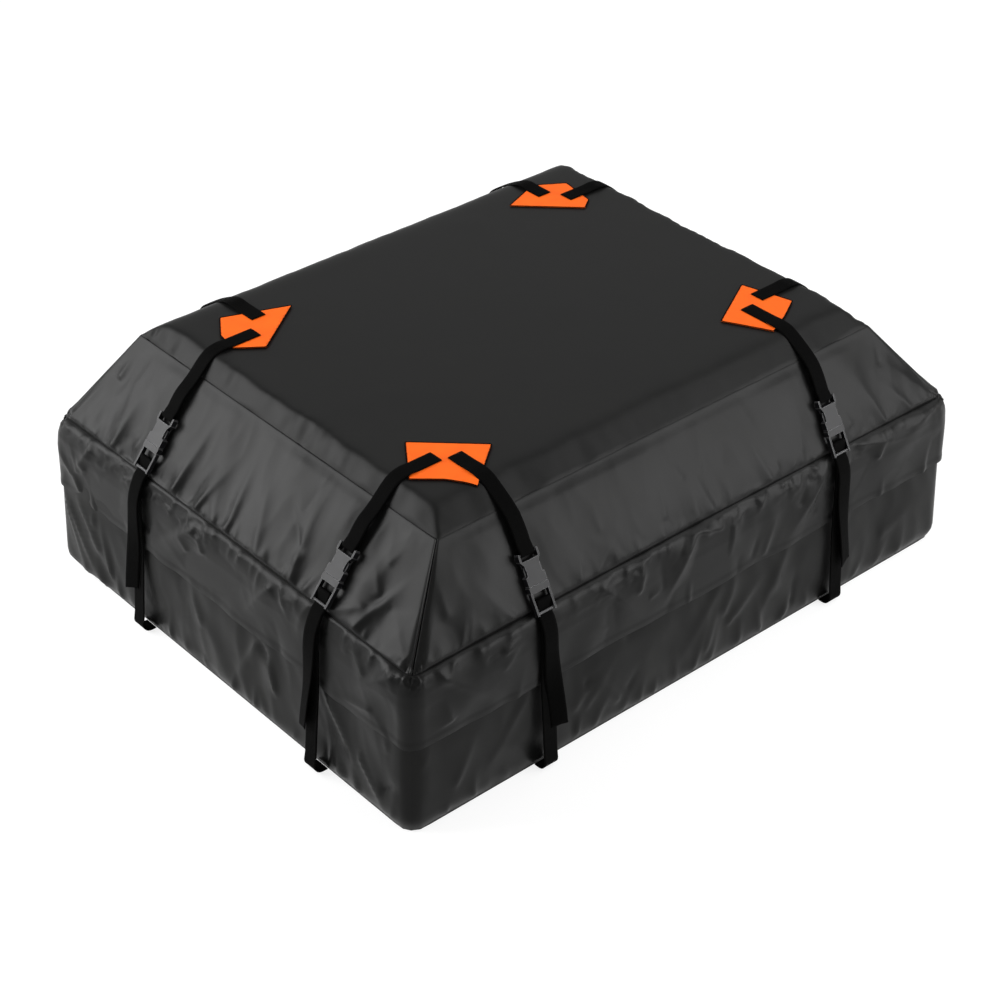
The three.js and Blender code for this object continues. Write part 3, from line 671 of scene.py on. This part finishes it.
def flap_place(side):
    """Placing of one storm flap, hem to wide seam."""
    chance = random.Random(fold_seed[side] + 5)
    seed = fold_seed[side] + 0.5
    _, top_span = wall_sizes(side, wide_seam)
    folds = folds_from(flap_creases[side]) + gathers(
        chance, 0.97 * top_span, 0.030, (0.014, 0.050), (0.0010, 0.0030), 0.0, -1, 0.8,
    ) + scattered(
        chance, top_span, -flap_depth, -0.01, round(flap_folds_per_metre * top_span),
        (0.03, 0.10), (0.0012, 0.0036), flap_slant[side],
    )

    def place(across, up):
        share = corner_columns(across)
        drop = flap_depth - seam_rows(up, flap_depth, 0.010)
        top = wide_seam - 0.0004 + seam_lift(share)
        height = top - drop * (1 + seam_lift(share) / flap_depth)
        reach, span = wall_sizes(side, height)
        x, y, out_x, out_y = side_line(share, reach, span, corner_radius)
        along = share * span
        no_climb = np.zeros_like(along)
        stand = np.interp(drop, stand_drops, stand_offs)
        stand *= 1 + 0.5 * soft_noise(along, drop, 0.042, 1.0, seed + 9.2) * fading(drop, 0.02)
        lift = 0.0036 * soft_noise(along, drop, 0.14, 0.9, seed)
        lift += 0.0030 * soft_noise(along + 0.6 * drop, drop, 0.055, 1.8, seed + 2.3)
        lift += 0.0008 * creased(along - 0.5 * drop, drop, 0.080, 1.4, seed + 6.1)
        patchy = ease(soft_noise(along, no_climb, 0.11, 1.0, seed + 3.9), -0.35, 0.15)
        patchy *= 0.25 + 0.75 * np.exp(-(along / (0.62 * span)) ** 4)
        crumple = flap_crumple[side] * 0.0046 * hump(drop, 0.018, 0.013)
        lift += crumple * patchy * creased(along, drop, 0.034, 0.6, seed + 7.7)
        lift += 1.45 * fold_relief(along, -drop, folds)
        flutter = 0.0016 * ease(drop, 0.08, flap_depth)
        lift += flutter * soft_noise(along, drop, 0.045, 3.0, seed + 4.4)
        hem = ease(drop, flap_depth - 0.0105, flap_depth - 0.0085)
        sink = 0.0014 + 0.0026 * hump(drop, 0.016, 0.010)
        if side == "front":
            sink += (-0.0012 - sink) * (1 - ease(np.abs(along), 0.055, 0.085))
        lift = np.maximum(capped(lift, clear_of_straps(side, along, 0.0018, 0.0084)), -sink)
        corner_gap = (1 - np.abs(share)) * span
        lift = lift * ease(drop, 0.0, 0.006) * ease(corner_gap, 0.002, 0.028)
        pucker = 0.0040 * hump(corner_gap, 0, 0.022) * hump(drop, 0.007, 0.008)
        lift += pucker * creased(along, drop, 0.012, 0.8, seed + 12.6)
        lift += 0.0007 * hem
        out = stand + lift - seam_tuck * fading(drop, seam_round)
        out += 0.45 * np.clip(swelling(side, share, span) - 0.003, 0, None) * ease(drop, 0.0, 0.030)
        sway = 0.0026 * ease(drop, 0.06, flap_depth)
        sway *= soft_noise(along, no_climb, 0.09, 1.0, seed + 6)
        points = np.column_stack([x + out_x * out, y + out_y * out, height + sway])
        return turned(points, side), np.column_stack([along, flap_depth - drop])

    return place


for side in side_turn:
    flap_mesh = cloth_mesh(f"flap_{side}", panel_columns[side], flap_rows, flap_place(side))
    flap = add_piece(f"flap_{side}", flap_mesh, outer_cloth, "bag", f"{side}_flap")
    thicken(flap, cloth_thickness)

# Shoulders: four sloping panels between the wide seam and the crown, pulled in to the seams and
# gathered along the lower one, where the folds start sharp and widen as they run up the slope.
upper_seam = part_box("top_panel")[0].z
upper_reach = {"end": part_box("top_panel")[1].x, "side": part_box("top_panel")[1].y}
upper_radius = 0.005
slope_rise = upper_seam - wide_seam
slope_run = {kind: wide_reach[kind] - upper_reach[kind] for kind in ("end", "side")}
shoulder_rows = 58
shoulder_slant = {"left": 0.1, "front": -0.3, "right": 0.1, "back": -0.2}
shoulder_vigour = {"left": 1.35, "front": 0.72, "right": 1.0, "back": 0.85}
shoulder_folds_per_metre = 34
shoulder_belly = 0.0060

shoulder_folds = {
    "left": [
        (300, 2, 350, 130, 5, 8, 26), (245, 6, 330, 60, 5, 6, 14), (420, 2, 330, 75, 4.5, 4, 16),
        (160, 2, 130, 150, 4.5, 10, 30), (85, 2, 30, 120, 5, 7, 22), (10, 2, -10, 140, 4.5, 7, 24),
        (-70, 2, -40, 100, 5, 6, 20), (-130, 2, -110, 145, 4.5, 8, 26),
        (-290, 2, -270, 130, 4, 8, 24), (-405, 2, -350, 120, 4.5, 5, 18),
    ],
    "front": [
        (-510, 2, -440, 105, 4.5, 5, 18), (-445, 2, -420, 50, 3, 4, 12),
        (-350, 2, -400, 90, 4, 6, 20), (-200, 2, -140, 60, 3, 6, 18), (30, 2, 0, 120, 4, 9, 30),
        (150, 2, 110, 120, 4.5, 8, 28), (235, 4, 330, 40, 4, 7, 14), (400, 2, 350, 110, 4.5, 6, 22),
        (460, 2, 400, 80, 4, 5, 18), (515, 2, 420, 100, 4.5, 5, 20),
    ],
    "right": [
        (-420, 2, -350, 100, 4.5, 4, 18), (-290, 2, -320, 120, 4.5, 8, 24),
        (-60, 2, -100, 140, 4.5, 8, 26), (80, 2, 60, 120, 4.5, 7, 24),
        (290, 2, 330, 110, 4.5, 7, 22), (420, 2, 360, 95, 4.5, 4, 18),
    ],
    "back": [
        (-515, 2, -430, 100, 4.5, 5, 20), (-360, 2, -380, 110, 4.5, 7, 24),
        (-190, 2, -150, 120, 4.5, 8, 28), (-20, 2, -60, 130, 4.5, 9, 28),
        (140, 2, 180, 100, 4.5, 7, 24), (400, 2, 360, 120, 4.5, 7, 24),
        (515, 2, 430, 95, 4.5, 5, 18),
    ],
}


def shoulder_place(side):
    """Placing of one shoulder panel, wide seam to upper seam."""
    kind, other = kinds(side)
    chance = random.Random(fold_seed[side] + 9)
    seed = fold_seed[side] + 0.25
    slope = math.hypot(slope_run[kind], slope_rise)
    vigour = shoulder_vigour[side]
    span_low = wide_reach[other]
    folds = folds_from(shoulder_folds[side]) + gathers(
        chance, 0.97 * span_low, 0.024, (0.015, 0.055), (0.0008, 0.0026), 0.0, 1, 0.5,
    ) + gathers(
        chance, 0.97 * upper_reach[other], 0.035, (0.010, 0.030), (0.0004, 0.0012), slope, -1, 0.4,
    ) + scattered(
        chance, 0.9 * span_low, 0.01, 0.85 * slope, round(shoulder_folds_per_metre * span_low),
        (0.03, 0.11), (0.0010, 0.0034), shoulder_slant[side],
    )

    def place(across, up):
        share = corner_columns(across)
        level = seam_rows(up, slope, 0.007) / slope
        low_line = side_line(share, wide_reach[kind], wide_reach[other], corner_radius)
        high_line = side_line(share, upper_reach[kind], upper_reach[other], upper_radius)
        x, y, out_x, out_y = (
            low + (high - low) * level for low, high in zip(low_line, high_line)
        )
        low_z = wide_seam + seam_lift(share)
        z = low_z + (upper_seam - low_z) * level
        climb = slope * level
        span = span_low + (upper_reach[other] - span_low) * level
        along = share * span
        corner_gap = (1 - np.abs(share)) * span
        belly = shoulder_belly * np.sin(math.pi * level) ** 0.8 * ease(corner_gap, 0.0, 0.13)
        lift = 0.0052 * soft_noise(along, climb, 0.17, 1.6, seed)
        lift += 0.0036 * soft_noise(along + 0.2 * climb, climb, 0.055, 3.0, seed + 2.2)
        lift += 0.0018 * creased(along + 0.1 * climb, climb, 0.070, 2.6, seed + 4.8)
        lift += 1.1 * fold_relief(along, climb, folds)
        lift += 0.0006 * creased(along, climb, 0.022, 1.8, seed + 5.5) * fading(climb, 0.05)
        lift = belly + vigour * lift * (1 - 0.45 * ease(climb, 0.10, slope))
        if side == "left":
            lift *= 1 - 0.65 * ease(along, 0.27, 0.37)
        lift = capped(lift, clear_of_straps(side, along, 0.0042, 0.0115))
        lift *= ease(climb, 0, 0.008) * ease(slope - climb, 0, 0.022)
        lift *= ease(corner_gap, -0.010, 0.060) * ease(corner_gap, 0.0, 0.006)
        lift += 0.0007 * hump(corner_gap, 0.0030, 0.0018)
        lift -= 0.0030 * fading(corner_gap, 0.0009)
        pucker = 0.0040 * hump(corner_gap, 0.014, 0.014) * hump(climb, 0.008, 0.010)
        lift += pucker * creased(along, climb, 0.014, 1.2, seed + 12.6)
        lift -= seam_tuck * fading(climb, seam_round)
        lift -= 0.0020 * fading(slope - climb, 0.0009)
        outward = slope_rise / slope
        upward = slope_run[kind] / slope
        points = np.column_stack([
            x + outward * out_x * lift,
            y + outward * out_y * lift,
            z + upward * lift,
        ])
        return turned(points, side), np.column_stack([along, climb])

    return place


for side in side_turn:
    shoulder_mesh = cloth_mesh(
        f"shoulder_{side}", panel_columns[side], shoulder_rows, shoulder_place(side),
    )
    shoulder = add_piece(
        f"shoulder_{side}", shoulder_mesh, outer_cloth, "bag", f"{side}_shoulder",
    )
    thicken(shoulder, cloth_thickness)
    kind, other = kinds(side)

# Crown: one large sheet, almost smooth on top where the load holds it flat, its edge bent down
# all round to the upper seam and crumpled there in a narrow band.
crown_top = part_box("top_panel")[1].z
crown_rise = crown_top - upper_seam
crown_run = {"end": 0.028, "side": 0.044}
crown_columns = 210
crown_rows = 180


def crown_height(x, y):
    """Height above the upper seam: a slope at each edge that bends over into the flat top."""
    def bend(gap, run, steepness, sharpness):
        return -np.log(np.exp(-sharpness * steepness * gap / run) + np.exp(-sharpness)) / sharpness
    front = y < 0
    end_gap = np.where(x < 0, strap_gap("left", -y), strap_gap("right", y))
    flank_gap = np.where(front, strap_gap("front", x), strap_gap("back", -x))
    ragged_end = 0.0058 * soft_noise(y, x, 0.060, 1.0, 5.2)
    patchy = ease(soft_noise(y, x, 0.075, 1.0, 4.7), -0.2, 0.4)
    ragged_end += 0.0034 * soft_noise(y, x, 0.013, 2.2, 8.1) * patchy
    ragged_end *= ease(end_gap, 0.013, 0.045) * ease(np.abs(x), 0.36, 0.40)
    ends = bend(upper_reach["end"] - np.abs(x) + ragged_end, crown_run["end"], 1.15, 9.0)
    ragged_flank = 0.0014 * soft_noise(x, y, 0.022, 3.0, 2.6)
    ragged_flank += 0.0064 * soft_noise(x, y, 0.075, 1.2, 6.9)
    ragged_flank *= ease(flank_gap, 0.013, 0.045) * ease(np.abs(y), 0.26, 0.31)
    ragged_flank *= np.where(front, 1.0, 0.22)
    flanks = bend(
        upper_reach["side"] - np.abs(y) + ragged_flank, crown_run["side"], 1.3,
        np.where(front, 5.0, 3.4),
    )
    blend_sharpness = 9.0
    both = np.exp(-blend_sharpness * ends) + np.exp(-blend_sharpness * flanks)
    both = -np.log(both) / blend_sharpness
    return crown_rise * both / (1 - math.log(2) / blend_sharpness)


def crown_place(across, up):
    """Grid drawn out to the upper seam, closer together near its edges."""
    def spread(share, half):
        return seam_rows(share, 2 * half, 0.030) - half
    x = spread(across, upper_reach["end"])
    y = spread(up, upper_reach["side"])
    end_gap = upper_reach["end"] - np.abs(x)
    side_gap = upper_reach["side"] - np.abs(y)
    gap = np.minimum(end_gap, side_gap)
    height = crown_height(x, y) * ease(gap, -0.004, 0.004)
    height += 0.0007 * soft_noise(x, y, 0.22, 1.0, 3.3) * ease(gap, 0.03, 0.09)
    crumpled = 0.0008 * hump(end_gap, 0.014, 0.012) * creased(y, end_gap, 0.050, 1.0, 8.8)
    crumpled += 0.0006 * hump(side_gap, 0.020, 0.016) * creased(x, side_gap, 0.044, 1.6, 1.4)
    height += crumpled * ease(gap, 0, 0.006)
    height -= 0.0020 * fading(gap, 0.0009)
    points = np.column_stack([x, y, upper_seam + np.minimum(height, crown_rise + 0.0008)])
    return points, np.column_stack([x, y])


crown_cloth = coated_cloth("crown_cloth", 0.0072, 0.132, 0.0009, 0.0008, 0.40)
crown_mesh = cloth_mesh("crown", crown_columns, crown_rows, crown_place)
crown = add_piece("crown", crown_mesh, crown_cloth, "bag", "top_panel")
thicken(crown, cloth_thickness)

# Patches: orange coated cloth cut by hand and sewn flat on the crown under each pair of strap
# ends, each rim covered by a narrow black strip in the straps' webbing material.
patch_thickness = 0.0012
patch_lift = 0.0009
patch_cell = 0.006
patch_grid_reach = 70
rim_step = 0.002
rim_roundings = 2
edging_width = 0.0018
edging_thickness = 0.0003
patch_cuts = {
    "front_left": [
        (-0.339, -0.177), (-0.251, -0.260), (-0.329, -0.322), (-0.356, -0.284), (-0.393, -0.251),
    ],
    "front_right": [
        (0.332, -0.174), (0.229, -0.231), (0.268, -0.304), (0.313, -0.284), (0.355, -0.260),
    ],
    "back_left": [
        (-0.336, 0.271), (-0.231, 0.230), (-0.333, 0.156), (-0.373, 0.186), (-0.365, 0.228),
    ],
    "back_right": [
        (0.232, 0.257), (0.321, 0.171), (0.345, 0.188), (0.357, 0.256), (0.308, 0.287),
    ],
}

rib_pitch = 0.0017
pick_pitch = 0.0011
webbing, tree, shader = new_material("black_webbing", 0.03, 0.75)
web_colour = shader.inputs["Base Color"]
yarns = woven(tree, pick_pitch, rib_pitch, "MULTIPLY")
run_colours(tree, yarns, (0.0010, 0.0010, 0.0010), (0.0032, 0.0032, 0.0030), web_colour)
raised(tree, yarns, 0.6, 0.0003, shader.inputs["Normal"])

patch_cloth, tree, shader = new_material("patch_cloth", 0.12)
patch_tone = cloudy(tree, 30.0, 4.0).outputs["Fac"]
run_colours(
    tree, patch_tone, (0.90, 0.125, 0.008), (0.98, 0.150, 0.010), shader.inputs["Base Color"],
    0.3, 0.7,
)
run_values(tree, patch_tone, 0.5, 0.65, shader.inputs["Roughness"])
raised(tree, cloudy(tree, 1400.0).outputs["Fac"], 0.3, 0.0002, shader.inputs["Normal"])


def patch_outline(corner):
    """Rounded outline of one patch in its place on the crown, as close even points."""
    rim = [Vector(point) for point in patch_cuts[corner]]
    fine = []
    for start, stop in zip(rim, rim[1:] + rim[:1]):
        pieces = round((stop - start).length / rim_step)
        fine += [start.lerp(stop, k / pieces) for k in range(pieces)]
    for _ in range(rim_roundings):
        fine = [
            0.25 * fine[n - 1] + 0.5 * fine[n] + 0.25 * fine[(n + 1) % len(fine)]
            for n in range(len(fine))
        ]
    return fine


def patch_sizes(corner):
    """Length and width of the cloth that one patch is cut from on the slant, and the cut's area."""
    rim = patch_outline(corner)
    diagonals = ([point.x + point.y for point in rim], [point.x - point.y for point in rim])
    extents = [(max(places) - min(places)) / math.sqrt(2) for places in diagonals]
    twice = sum(a.x * b.y - b.x * a.y for a, b in zip(rim, rim[1:] + rim[:1]))
    return max(extents), min(extents), abs(twice) / 2


def laid_on_crown(form, name, lift):
    """Drops a flat bmesh onto the crown and makes a smooth mesh of it."""
    bmesh.ops.recalc_face_normals(form, faces=form.faces)
    if sum(face.normal.z for face in form.faces) < 0:
        bmesh.ops.reverse_faces(form, faces=form.faces)
    x = np.array([vert.co.x for vert in form.verts])
    y = np.array([vert.co.y for vert in form.verts])
    for vert, height in zip(form.verts, crown_height(x, y)):
        vert.co.z = upper_seam + min(float(height), crown_rise) + lift
    for face in form.faces:
        face.smooth = True
    return made_mesh(form, name)


def patch_mesh(corner):
    """Flat cut of the patch, filled with a fine grid."""
    form = bmesh.new()
    form.faces.new([form.verts.new((point.x, point.y, 0)) for point in patch_outline(corner)])
    for axis in ((1, 0, 0), (0, 1, 0)):
        for step in range(-patch_grid_reach, patch_grid_reach + 1):
            bmesh.ops.bisect_plane(
                form, geom=form.verts[:] + form.edges[:] + form.faces[:], dist=1e-6,
                plane_co=Vector(axis) * step * patch_cell, plane_no=axis,
            )
    return laid_on_crown(form, f"patch_piece_{corner}", patch_lift)


def edging_mesh(corner):
    """Narrow black strip over the rim of a patch."""
    rim = patch_outline(corner)
    form = bmesh.new()
    rows = []
    for n, point in enumerate(rim):
        way = (rim[(n + 1) % len(rim)] - rim[n - 1]).normalized()
        side_way = Vector((way.y, -way.x))
        rows.append([
            form.verts.new((*(point + side_way * share * edging_width), 0)) for share in (-0.55, 0.45)
        ])
    for row, onward in zip(rows, rows[1:] + rows[:1]):
        form.faces.new((row[0], onward[0], onward[1], row[1]))
    return laid_on_crown(form, f"patch_edging_{corner}", patch_lift + patch_thickness)


for corner in patch_cuts:
    patch = add_piece(
        f"patch_piece_{corner}", patch_mesh(corner), patch_cloth, "bag",
        f"patch_{corner}",
    )
    thicken(patch, patch_thickness, 1.0)
    patch_length, patch_width, patch_area = patch_sizes(corner)
    edging = add_piece(f"patch_edging_{corner}", edging_mesh(corner), webbing, "bag")
    thicken(edging, edging_thickness, 1.0)

# Upper straps: black polyester webbing, one end boxed down on its patch, over the edge of the
# crown and round the bar of its socket, where it is turned back and sewn to itself.
web_width = 0.025
web_thickness = 0.0016
web_gap = 0.0003
bar_radius = 0.002
bar_inset = 0.003
buckle_offset = 0.012
buckle_length = 0.0914
buckle_rise = {"end": 0.010, "side": -0.002}
sewn_lap = 0.026
strap_arch = 0.0006
strap_over_edge = {"left": 0.0068, "right": 0.0068, "front": 0.0048, "back": 0.0068}
strap_slack = 0.0050
web_wrap = bar_radius + web_gap + web_thickness / 2
web_pitch = web_thickness + web_gap
web_columns = 8
line_step = 0.004
slope_down = {kind: Vector((slope_run[kind], -slope_rise)).normalized() for kind in slope_run}


def on_buckle(kind, along, off):
    """A point by the buckle: along it from the socket's top, and off its middle plane outwards."""
    down = slope_down[kind]
    out = Vector((-down.y, down.x))
    wide = Vector((wide_reach[kind], wide_seam))
    top = wide - down * (buckle_rise[kind] + buckle_length) + out * buckle_offset
    return top + down * along + out * off


def smooth_line(points, step):
    """Even points on a smooth curve through the given ones."""
    ends = [2 * points[0] - points[1], *points, 2 * points[-1] - points[-2]]
    fine = []
    for before, start, stop, after in zip(ends, ends[1:], ends[2:], ends[3:]):
        pieces = max(2, round((stop - start).length / step))
        for k in range(pieces):
            t = k / pieces
            fine.append(0.5 * (
                2 * start + (stop - before) * t
                + (2 * before - 5 * start + 4 * stop - after) * t ** 2
                + (3 * start - before - 3 * stop + after) * t ** 3
            ))
    fine.append(points[-1])
    return fine


def turn_round(kind, place, first, last, steps=8):
    """Arc of webbing round a bar."""
    angles = [first + (last - first) * k / steps for k in range(steps + 1)]
    return [
        on_buckle(kind, place + web_wrap * math.cos(angle), web_wrap * math.sin(angle))
        for angle in angles
    ]


def web_mesh(name, line, across, side, twist=None, sway=None, end_cut=0.0):
    """Webbing laid along a line seen from its edge, its width along the side of the bag."""
    line = np.array([point[:] for point in line])
    steps = np.hypot(*np.diff(line, axis=0).T)
    length = np.concatenate([[0], np.cumsum(steps)])
    tangent = np.gradient(line, axis=0)
    tangent /= np.maximum(1e-9, np.hypot(*tangent.T))[:, None]
    form = bmesh.new()
    bmesh.ops.create_grid(form, x_segments=len(line) - 1, y_segments=web_columns, size=0.5)
    cut = form.loops.layers.uv.new("cloth")
    shares = {}
    for vert in form.verts:
        at = round((vert.co.x + 0.5) * (len(line) - 1))
        half = vert.co.y * web_width
        way = length[at] / length[-1]
        angle = twist(way) if twist else 0.0
        drift = sway(way) if sway else 0.0
        normal = np.array([-tangent[at][1], tangent[at][0]])
        crown_off = -0.0002 * (2 * vert.co.y) ** 4
        reach, height = line[at] + normal * (half * math.sin(angle) + crown_off)
        slant = end_cut * (vert.co.y + 0.5) * ease(np.array(way), 1 - 0.03, 1.0)
        spot = Vector((reach, across + drift + half * math.cos(angle), height))
        spot.x -= tangent[at][0] * float(slant)
        spot.z -= tangent[at][1] * float(slant)
        shares[vert] = (length[at], half)
        vert.co = Matrix.Rotation(side_turn[side], 3, "Z") @ spot
    for face in form.faces:
        face.smooth = True
        for loop in face.loops:
            loop[cut].uv = shares[loop.vert]
    return made_mesh(form, name)


def upper_line(side, kind, start):
    """Middle line of an upper strap, reach and height."""
    on_patch = crown_top + patch_lift + patch_thickness + web_gap + web_thickness / 2
    fold = upper_reach[kind] - crown_run[kind]
    meet = bar_inset - 0.014
    flare = 0.007
    main = smooth_line([
        Vector((start, on_patch)),
        Vector((fold - 0.034, on_patch)),
        Vector((fold - 0.012, on_patch + strap_arch)),
        Vector((fold + 0.010, on_patch - strap_over_edge[side])),
        on_buckle(kind, meet - 2 * sewn_lap, -strap_slack),
        on_buckle(kind, meet - sewn_lap, web_pitch / 2),
        on_buckle(kind, meet, web_pitch / 2),
    ], line_step)
    return [
        *main,
        on_buckle(kind, bar_inset - flare, web_wrap * 0.72),
        *turn_round(kind, bar_inset, math.pi / 2, -math.pi / 2),
        on_buckle(kind, bar_inset - flare, -web_wrap * 0.72),
        on_buckle(kind, meet, -web_pitch / 2),
        on_buckle(kind, meet - sewn_lap * 0.4, -web_pitch / 2),
        on_buckle(kind, meet - sewn_lap * 0.8, -web_pitch / 2),
    ]


for side in side_turn:
    kind, _ = kinds(side)
    to_right = Matrix.Rotation(-side_turn[side], 3, "Z")
    for label, across in strap_places[side]:
        start = min((to_right @ end).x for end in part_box(f"upper_strap_{label}"))
        upper_mesh = web_mesh(
            f"upper_web_{label}", upper_line(side, kind, start), across, side,
        )
        upper_web = add_piece(
            f"upper_web_{label}", upper_mesh, webbing, "bag", f"upper_strap_{label}",
        )
        thicken(upper_web, web_thickness, 0.0)

# Buckles: side-release buckles moulded in black acetal. The socket stays on the upper strap; the
# plug, with its two sprung prongs and its ladder for the webbing, slides out of it.
socket_bevel = 0.0009
plug_bevel = 0.0008
buckle_plastic, tree, shader = new_material("buckle_plastic", 0.30)
grain = cloudy(tree, 160.0, 3.0).outputs["Fac"]
edge_share = tree.nodes.new("ShaderNodeAttribute")
edge_share.attribute_name = "polish_and_painted_highlight"
# The rounded edges are mixed to a pale grey base colour, a painted highlight, as well as getting a
# lower roughness.
edge_painted_highlight = tree.nodes.new("ShaderNodeMix")
edge_painted_highlight.data_type = "RGBA"
edge_painted_highlight.inputs[7].default_value = (0.21, 0.21, 0.215, 1)
tree.links.new(edge_share.outputs["Fac"], edge_painted_highlight.inputs[0])
run_colours(tree, grain, (0.006, 0.006, 0.007), (0.010, 0.010, 0.011), edge_painted_highlight.inputs[6])
tree.links.new(edge_painted_highlight.outputs[2], shader.inputs["Base Color"])
edge_shine = tree.nodes.new("ShaderNodeMix")
edge_shine.inputs["B"].default_value = 0.14
tree.links.new(edge_share.outputs["Fac"], edge_shine.inputs["Factor"])
run_values(tree, grain, 0.40, 0.50, edge_shine.inputs["A"])
tree.links.new(edge_shine.outputs["Result"], shader.inputs["Roughness"])
raised(tree, grain, 0.10, 0.0001, shader.inputs["Normal"])

for side in side_turn:
    for label, _ in strap_places[side]:
        bevelled_piece(
            f"socket_{label}", f"buckle_socket_{label}", buckle_plastic, "bag",
            socket_bevel,
        )
        bevelled_piece(
            f"plug_piece_{label}", f"buckle_plug_{label}", buckle_plastic, f"plug_{label}",
            plug_bevel,
        )

# Lower straps: the same webbing, sewn under the foot of the wall, up in front of the flap, over the
# middle bar of its plug's ladder and down behind the last bar; the loose tail is cut on a slant.
leg_floor_reach = 0.022
leg_bend = 0.014
leg_clearance = 0.0035
flap_stand_off = 0.010
tail_gap = 0.007
tail_end = 0.072
tail_cut = 0.009
ladder_start = 0.0584
middle_bar_place = 0.014
ladder_bar = ladder_start + middle_bar_place
leg_start = 0.030
leg_step = 0.006
last_bar = buckle_length - bar_inset
web_dip = math.asin(2 * web_wrap / (last_bar - ladder_bar))
leg_depth = -(web_wrap + web_pitch)
foot_reach = {"end": half_length, "side": half_width}


def leg_point(kind, height, extra):
    """A point of the lower strap where it stands off the flap or slants down to the floor."""
    share = max(height, flap_bottom) / wide_seam
    wall = foot_reach[kind] + (wide_reach[kind] - foot_reach[kind]) * share
    over_flap = wall + flap_stand_off + cloth_thickness + leg_clearance
    on_floor = foot_reach[kind] + leg_floor_reach
    drop = max(0.0, flap_bottom - height) / flap_bottom
    return Vector((over_flap + (on_floor - over_flap) * drop + extra, height))


def leg_line(kind):
    """Middle line of a lower strap from under the wall to the ladder bar."""
    floor_line = web_gap + web_thickness / 2
    turn_reach = foot_reach[kind] + leg_floor_reach - leg_bend
    floor_turn = [
        Vector((
            turn_reach + leg_bend * math.sin(share * math.pi / 2),
            floor_line + leg_bend * (1 - math.cos(share * math.pi / 2)),
        ))
        for share in (0.17, 0.33, 0.5, 0.67, 0.83, 1.0)
    ]
    leg = smooth_line([
        leg_point(kind, leg_start, 0),
        leg_point(kind, flap_bottom * 0.55, 0),
        leg_point(kind, flap_bottom, 0),
        leg_point(kind, zip_height, 0),
        on_buckle(kind, buckle_length + 0.015, leg_depth + 0.0004),
        on_buckle(kind, buckle_length + 0.005, leg_depth),
        on_buckle(kind, last_bar, leg_depth),
    ], leg_step)
    return [
        Vector((foot_reach[kind] + web_gap, floor_line)),
        Vector((turn_reach, floor_line)),
        *floor_turn,
        *leg,
        on_buckle(kind, (ladder_bar + last_bar) / 2, (leg_depth - web_wrap) / 2),
        *turn_round(kind, ladder_bar, 1.5 * math.pi, math.pi),
    ]


def tail_line(kind):
    """Middle line of the free tail from the ladder's middle bar to its cut end."""
    tail = smooth_line([
        on_buckle(kind, buckle_length + 0.005, -web_wrap),
        on_buckle(kind, buckle_length + 0.015, 0.0004 - web_wrap),
        leg_point(kind, zip_height - 0.012, tail_gap),
        leg_point(kind, flap_bottom, tail_gap),
        leg_point(kind, tail_end, tail_gap),
    ], leg_step)
    return [
        *turn_round(kind, ladder_bar, math.pi, 0.5 * math.pi - web_dip),
        *turn_round(kind, last_bar, 1.5 * math.pi - web_dip, 1.5 * math.pi, 3),
        *tail,
    ]


tail_hang = {
    "front_left_end": (-0.014, 0.35), "back_left_end": (-0.010, -0.30),
    "front_left_side": (0.013, 0.55), "front_right_side": (0.014, -0.30),
    "front_right_end": (0.012, 0.30), "back_right_end": (-0.009, -0.40),
    "back_left_side": (0.011, 0.35), "back_right_side": (-0.013, -0.30),
}


def hanging(label):
    """Sideways drift and turn of a free tail, growing towards its end."""
    drift, turn = tail_hang[label]

    def sway(way):
        return drift * float(ease(np.array(way), 0.30, 1.05))

    def twist(way):
        return turn * float(ease(np.array(way), 0.35, 0.80))

    return sway, twist


for side in side_turn:
    kind, _ = kinds(side)
    for label, across in strap_places[side]:
        leg_mesh = web_mesh(f"leg_web_{label}", leg_line(kind), across, side)
        leg_web = add_piece(f"leg_web_{label}", leg_mesh, webbing, None)
        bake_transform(leg_web)
        thicken(leg_web, web_thickness, 0.0)
        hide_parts(f"lower_strap_{label}")
        sway, twist = hanging(label)
        tail_mesh = web_mesh(
            f"tail_web_{label}", tail_line(kind), across, side, twist, sway, tail_cut,
        )
        tail_web = add_piece(f"tail_web_{label}", tail_mesh, webbing, f"plug_{label}")
        thicken(tail_web, web_thickness, 0.0)
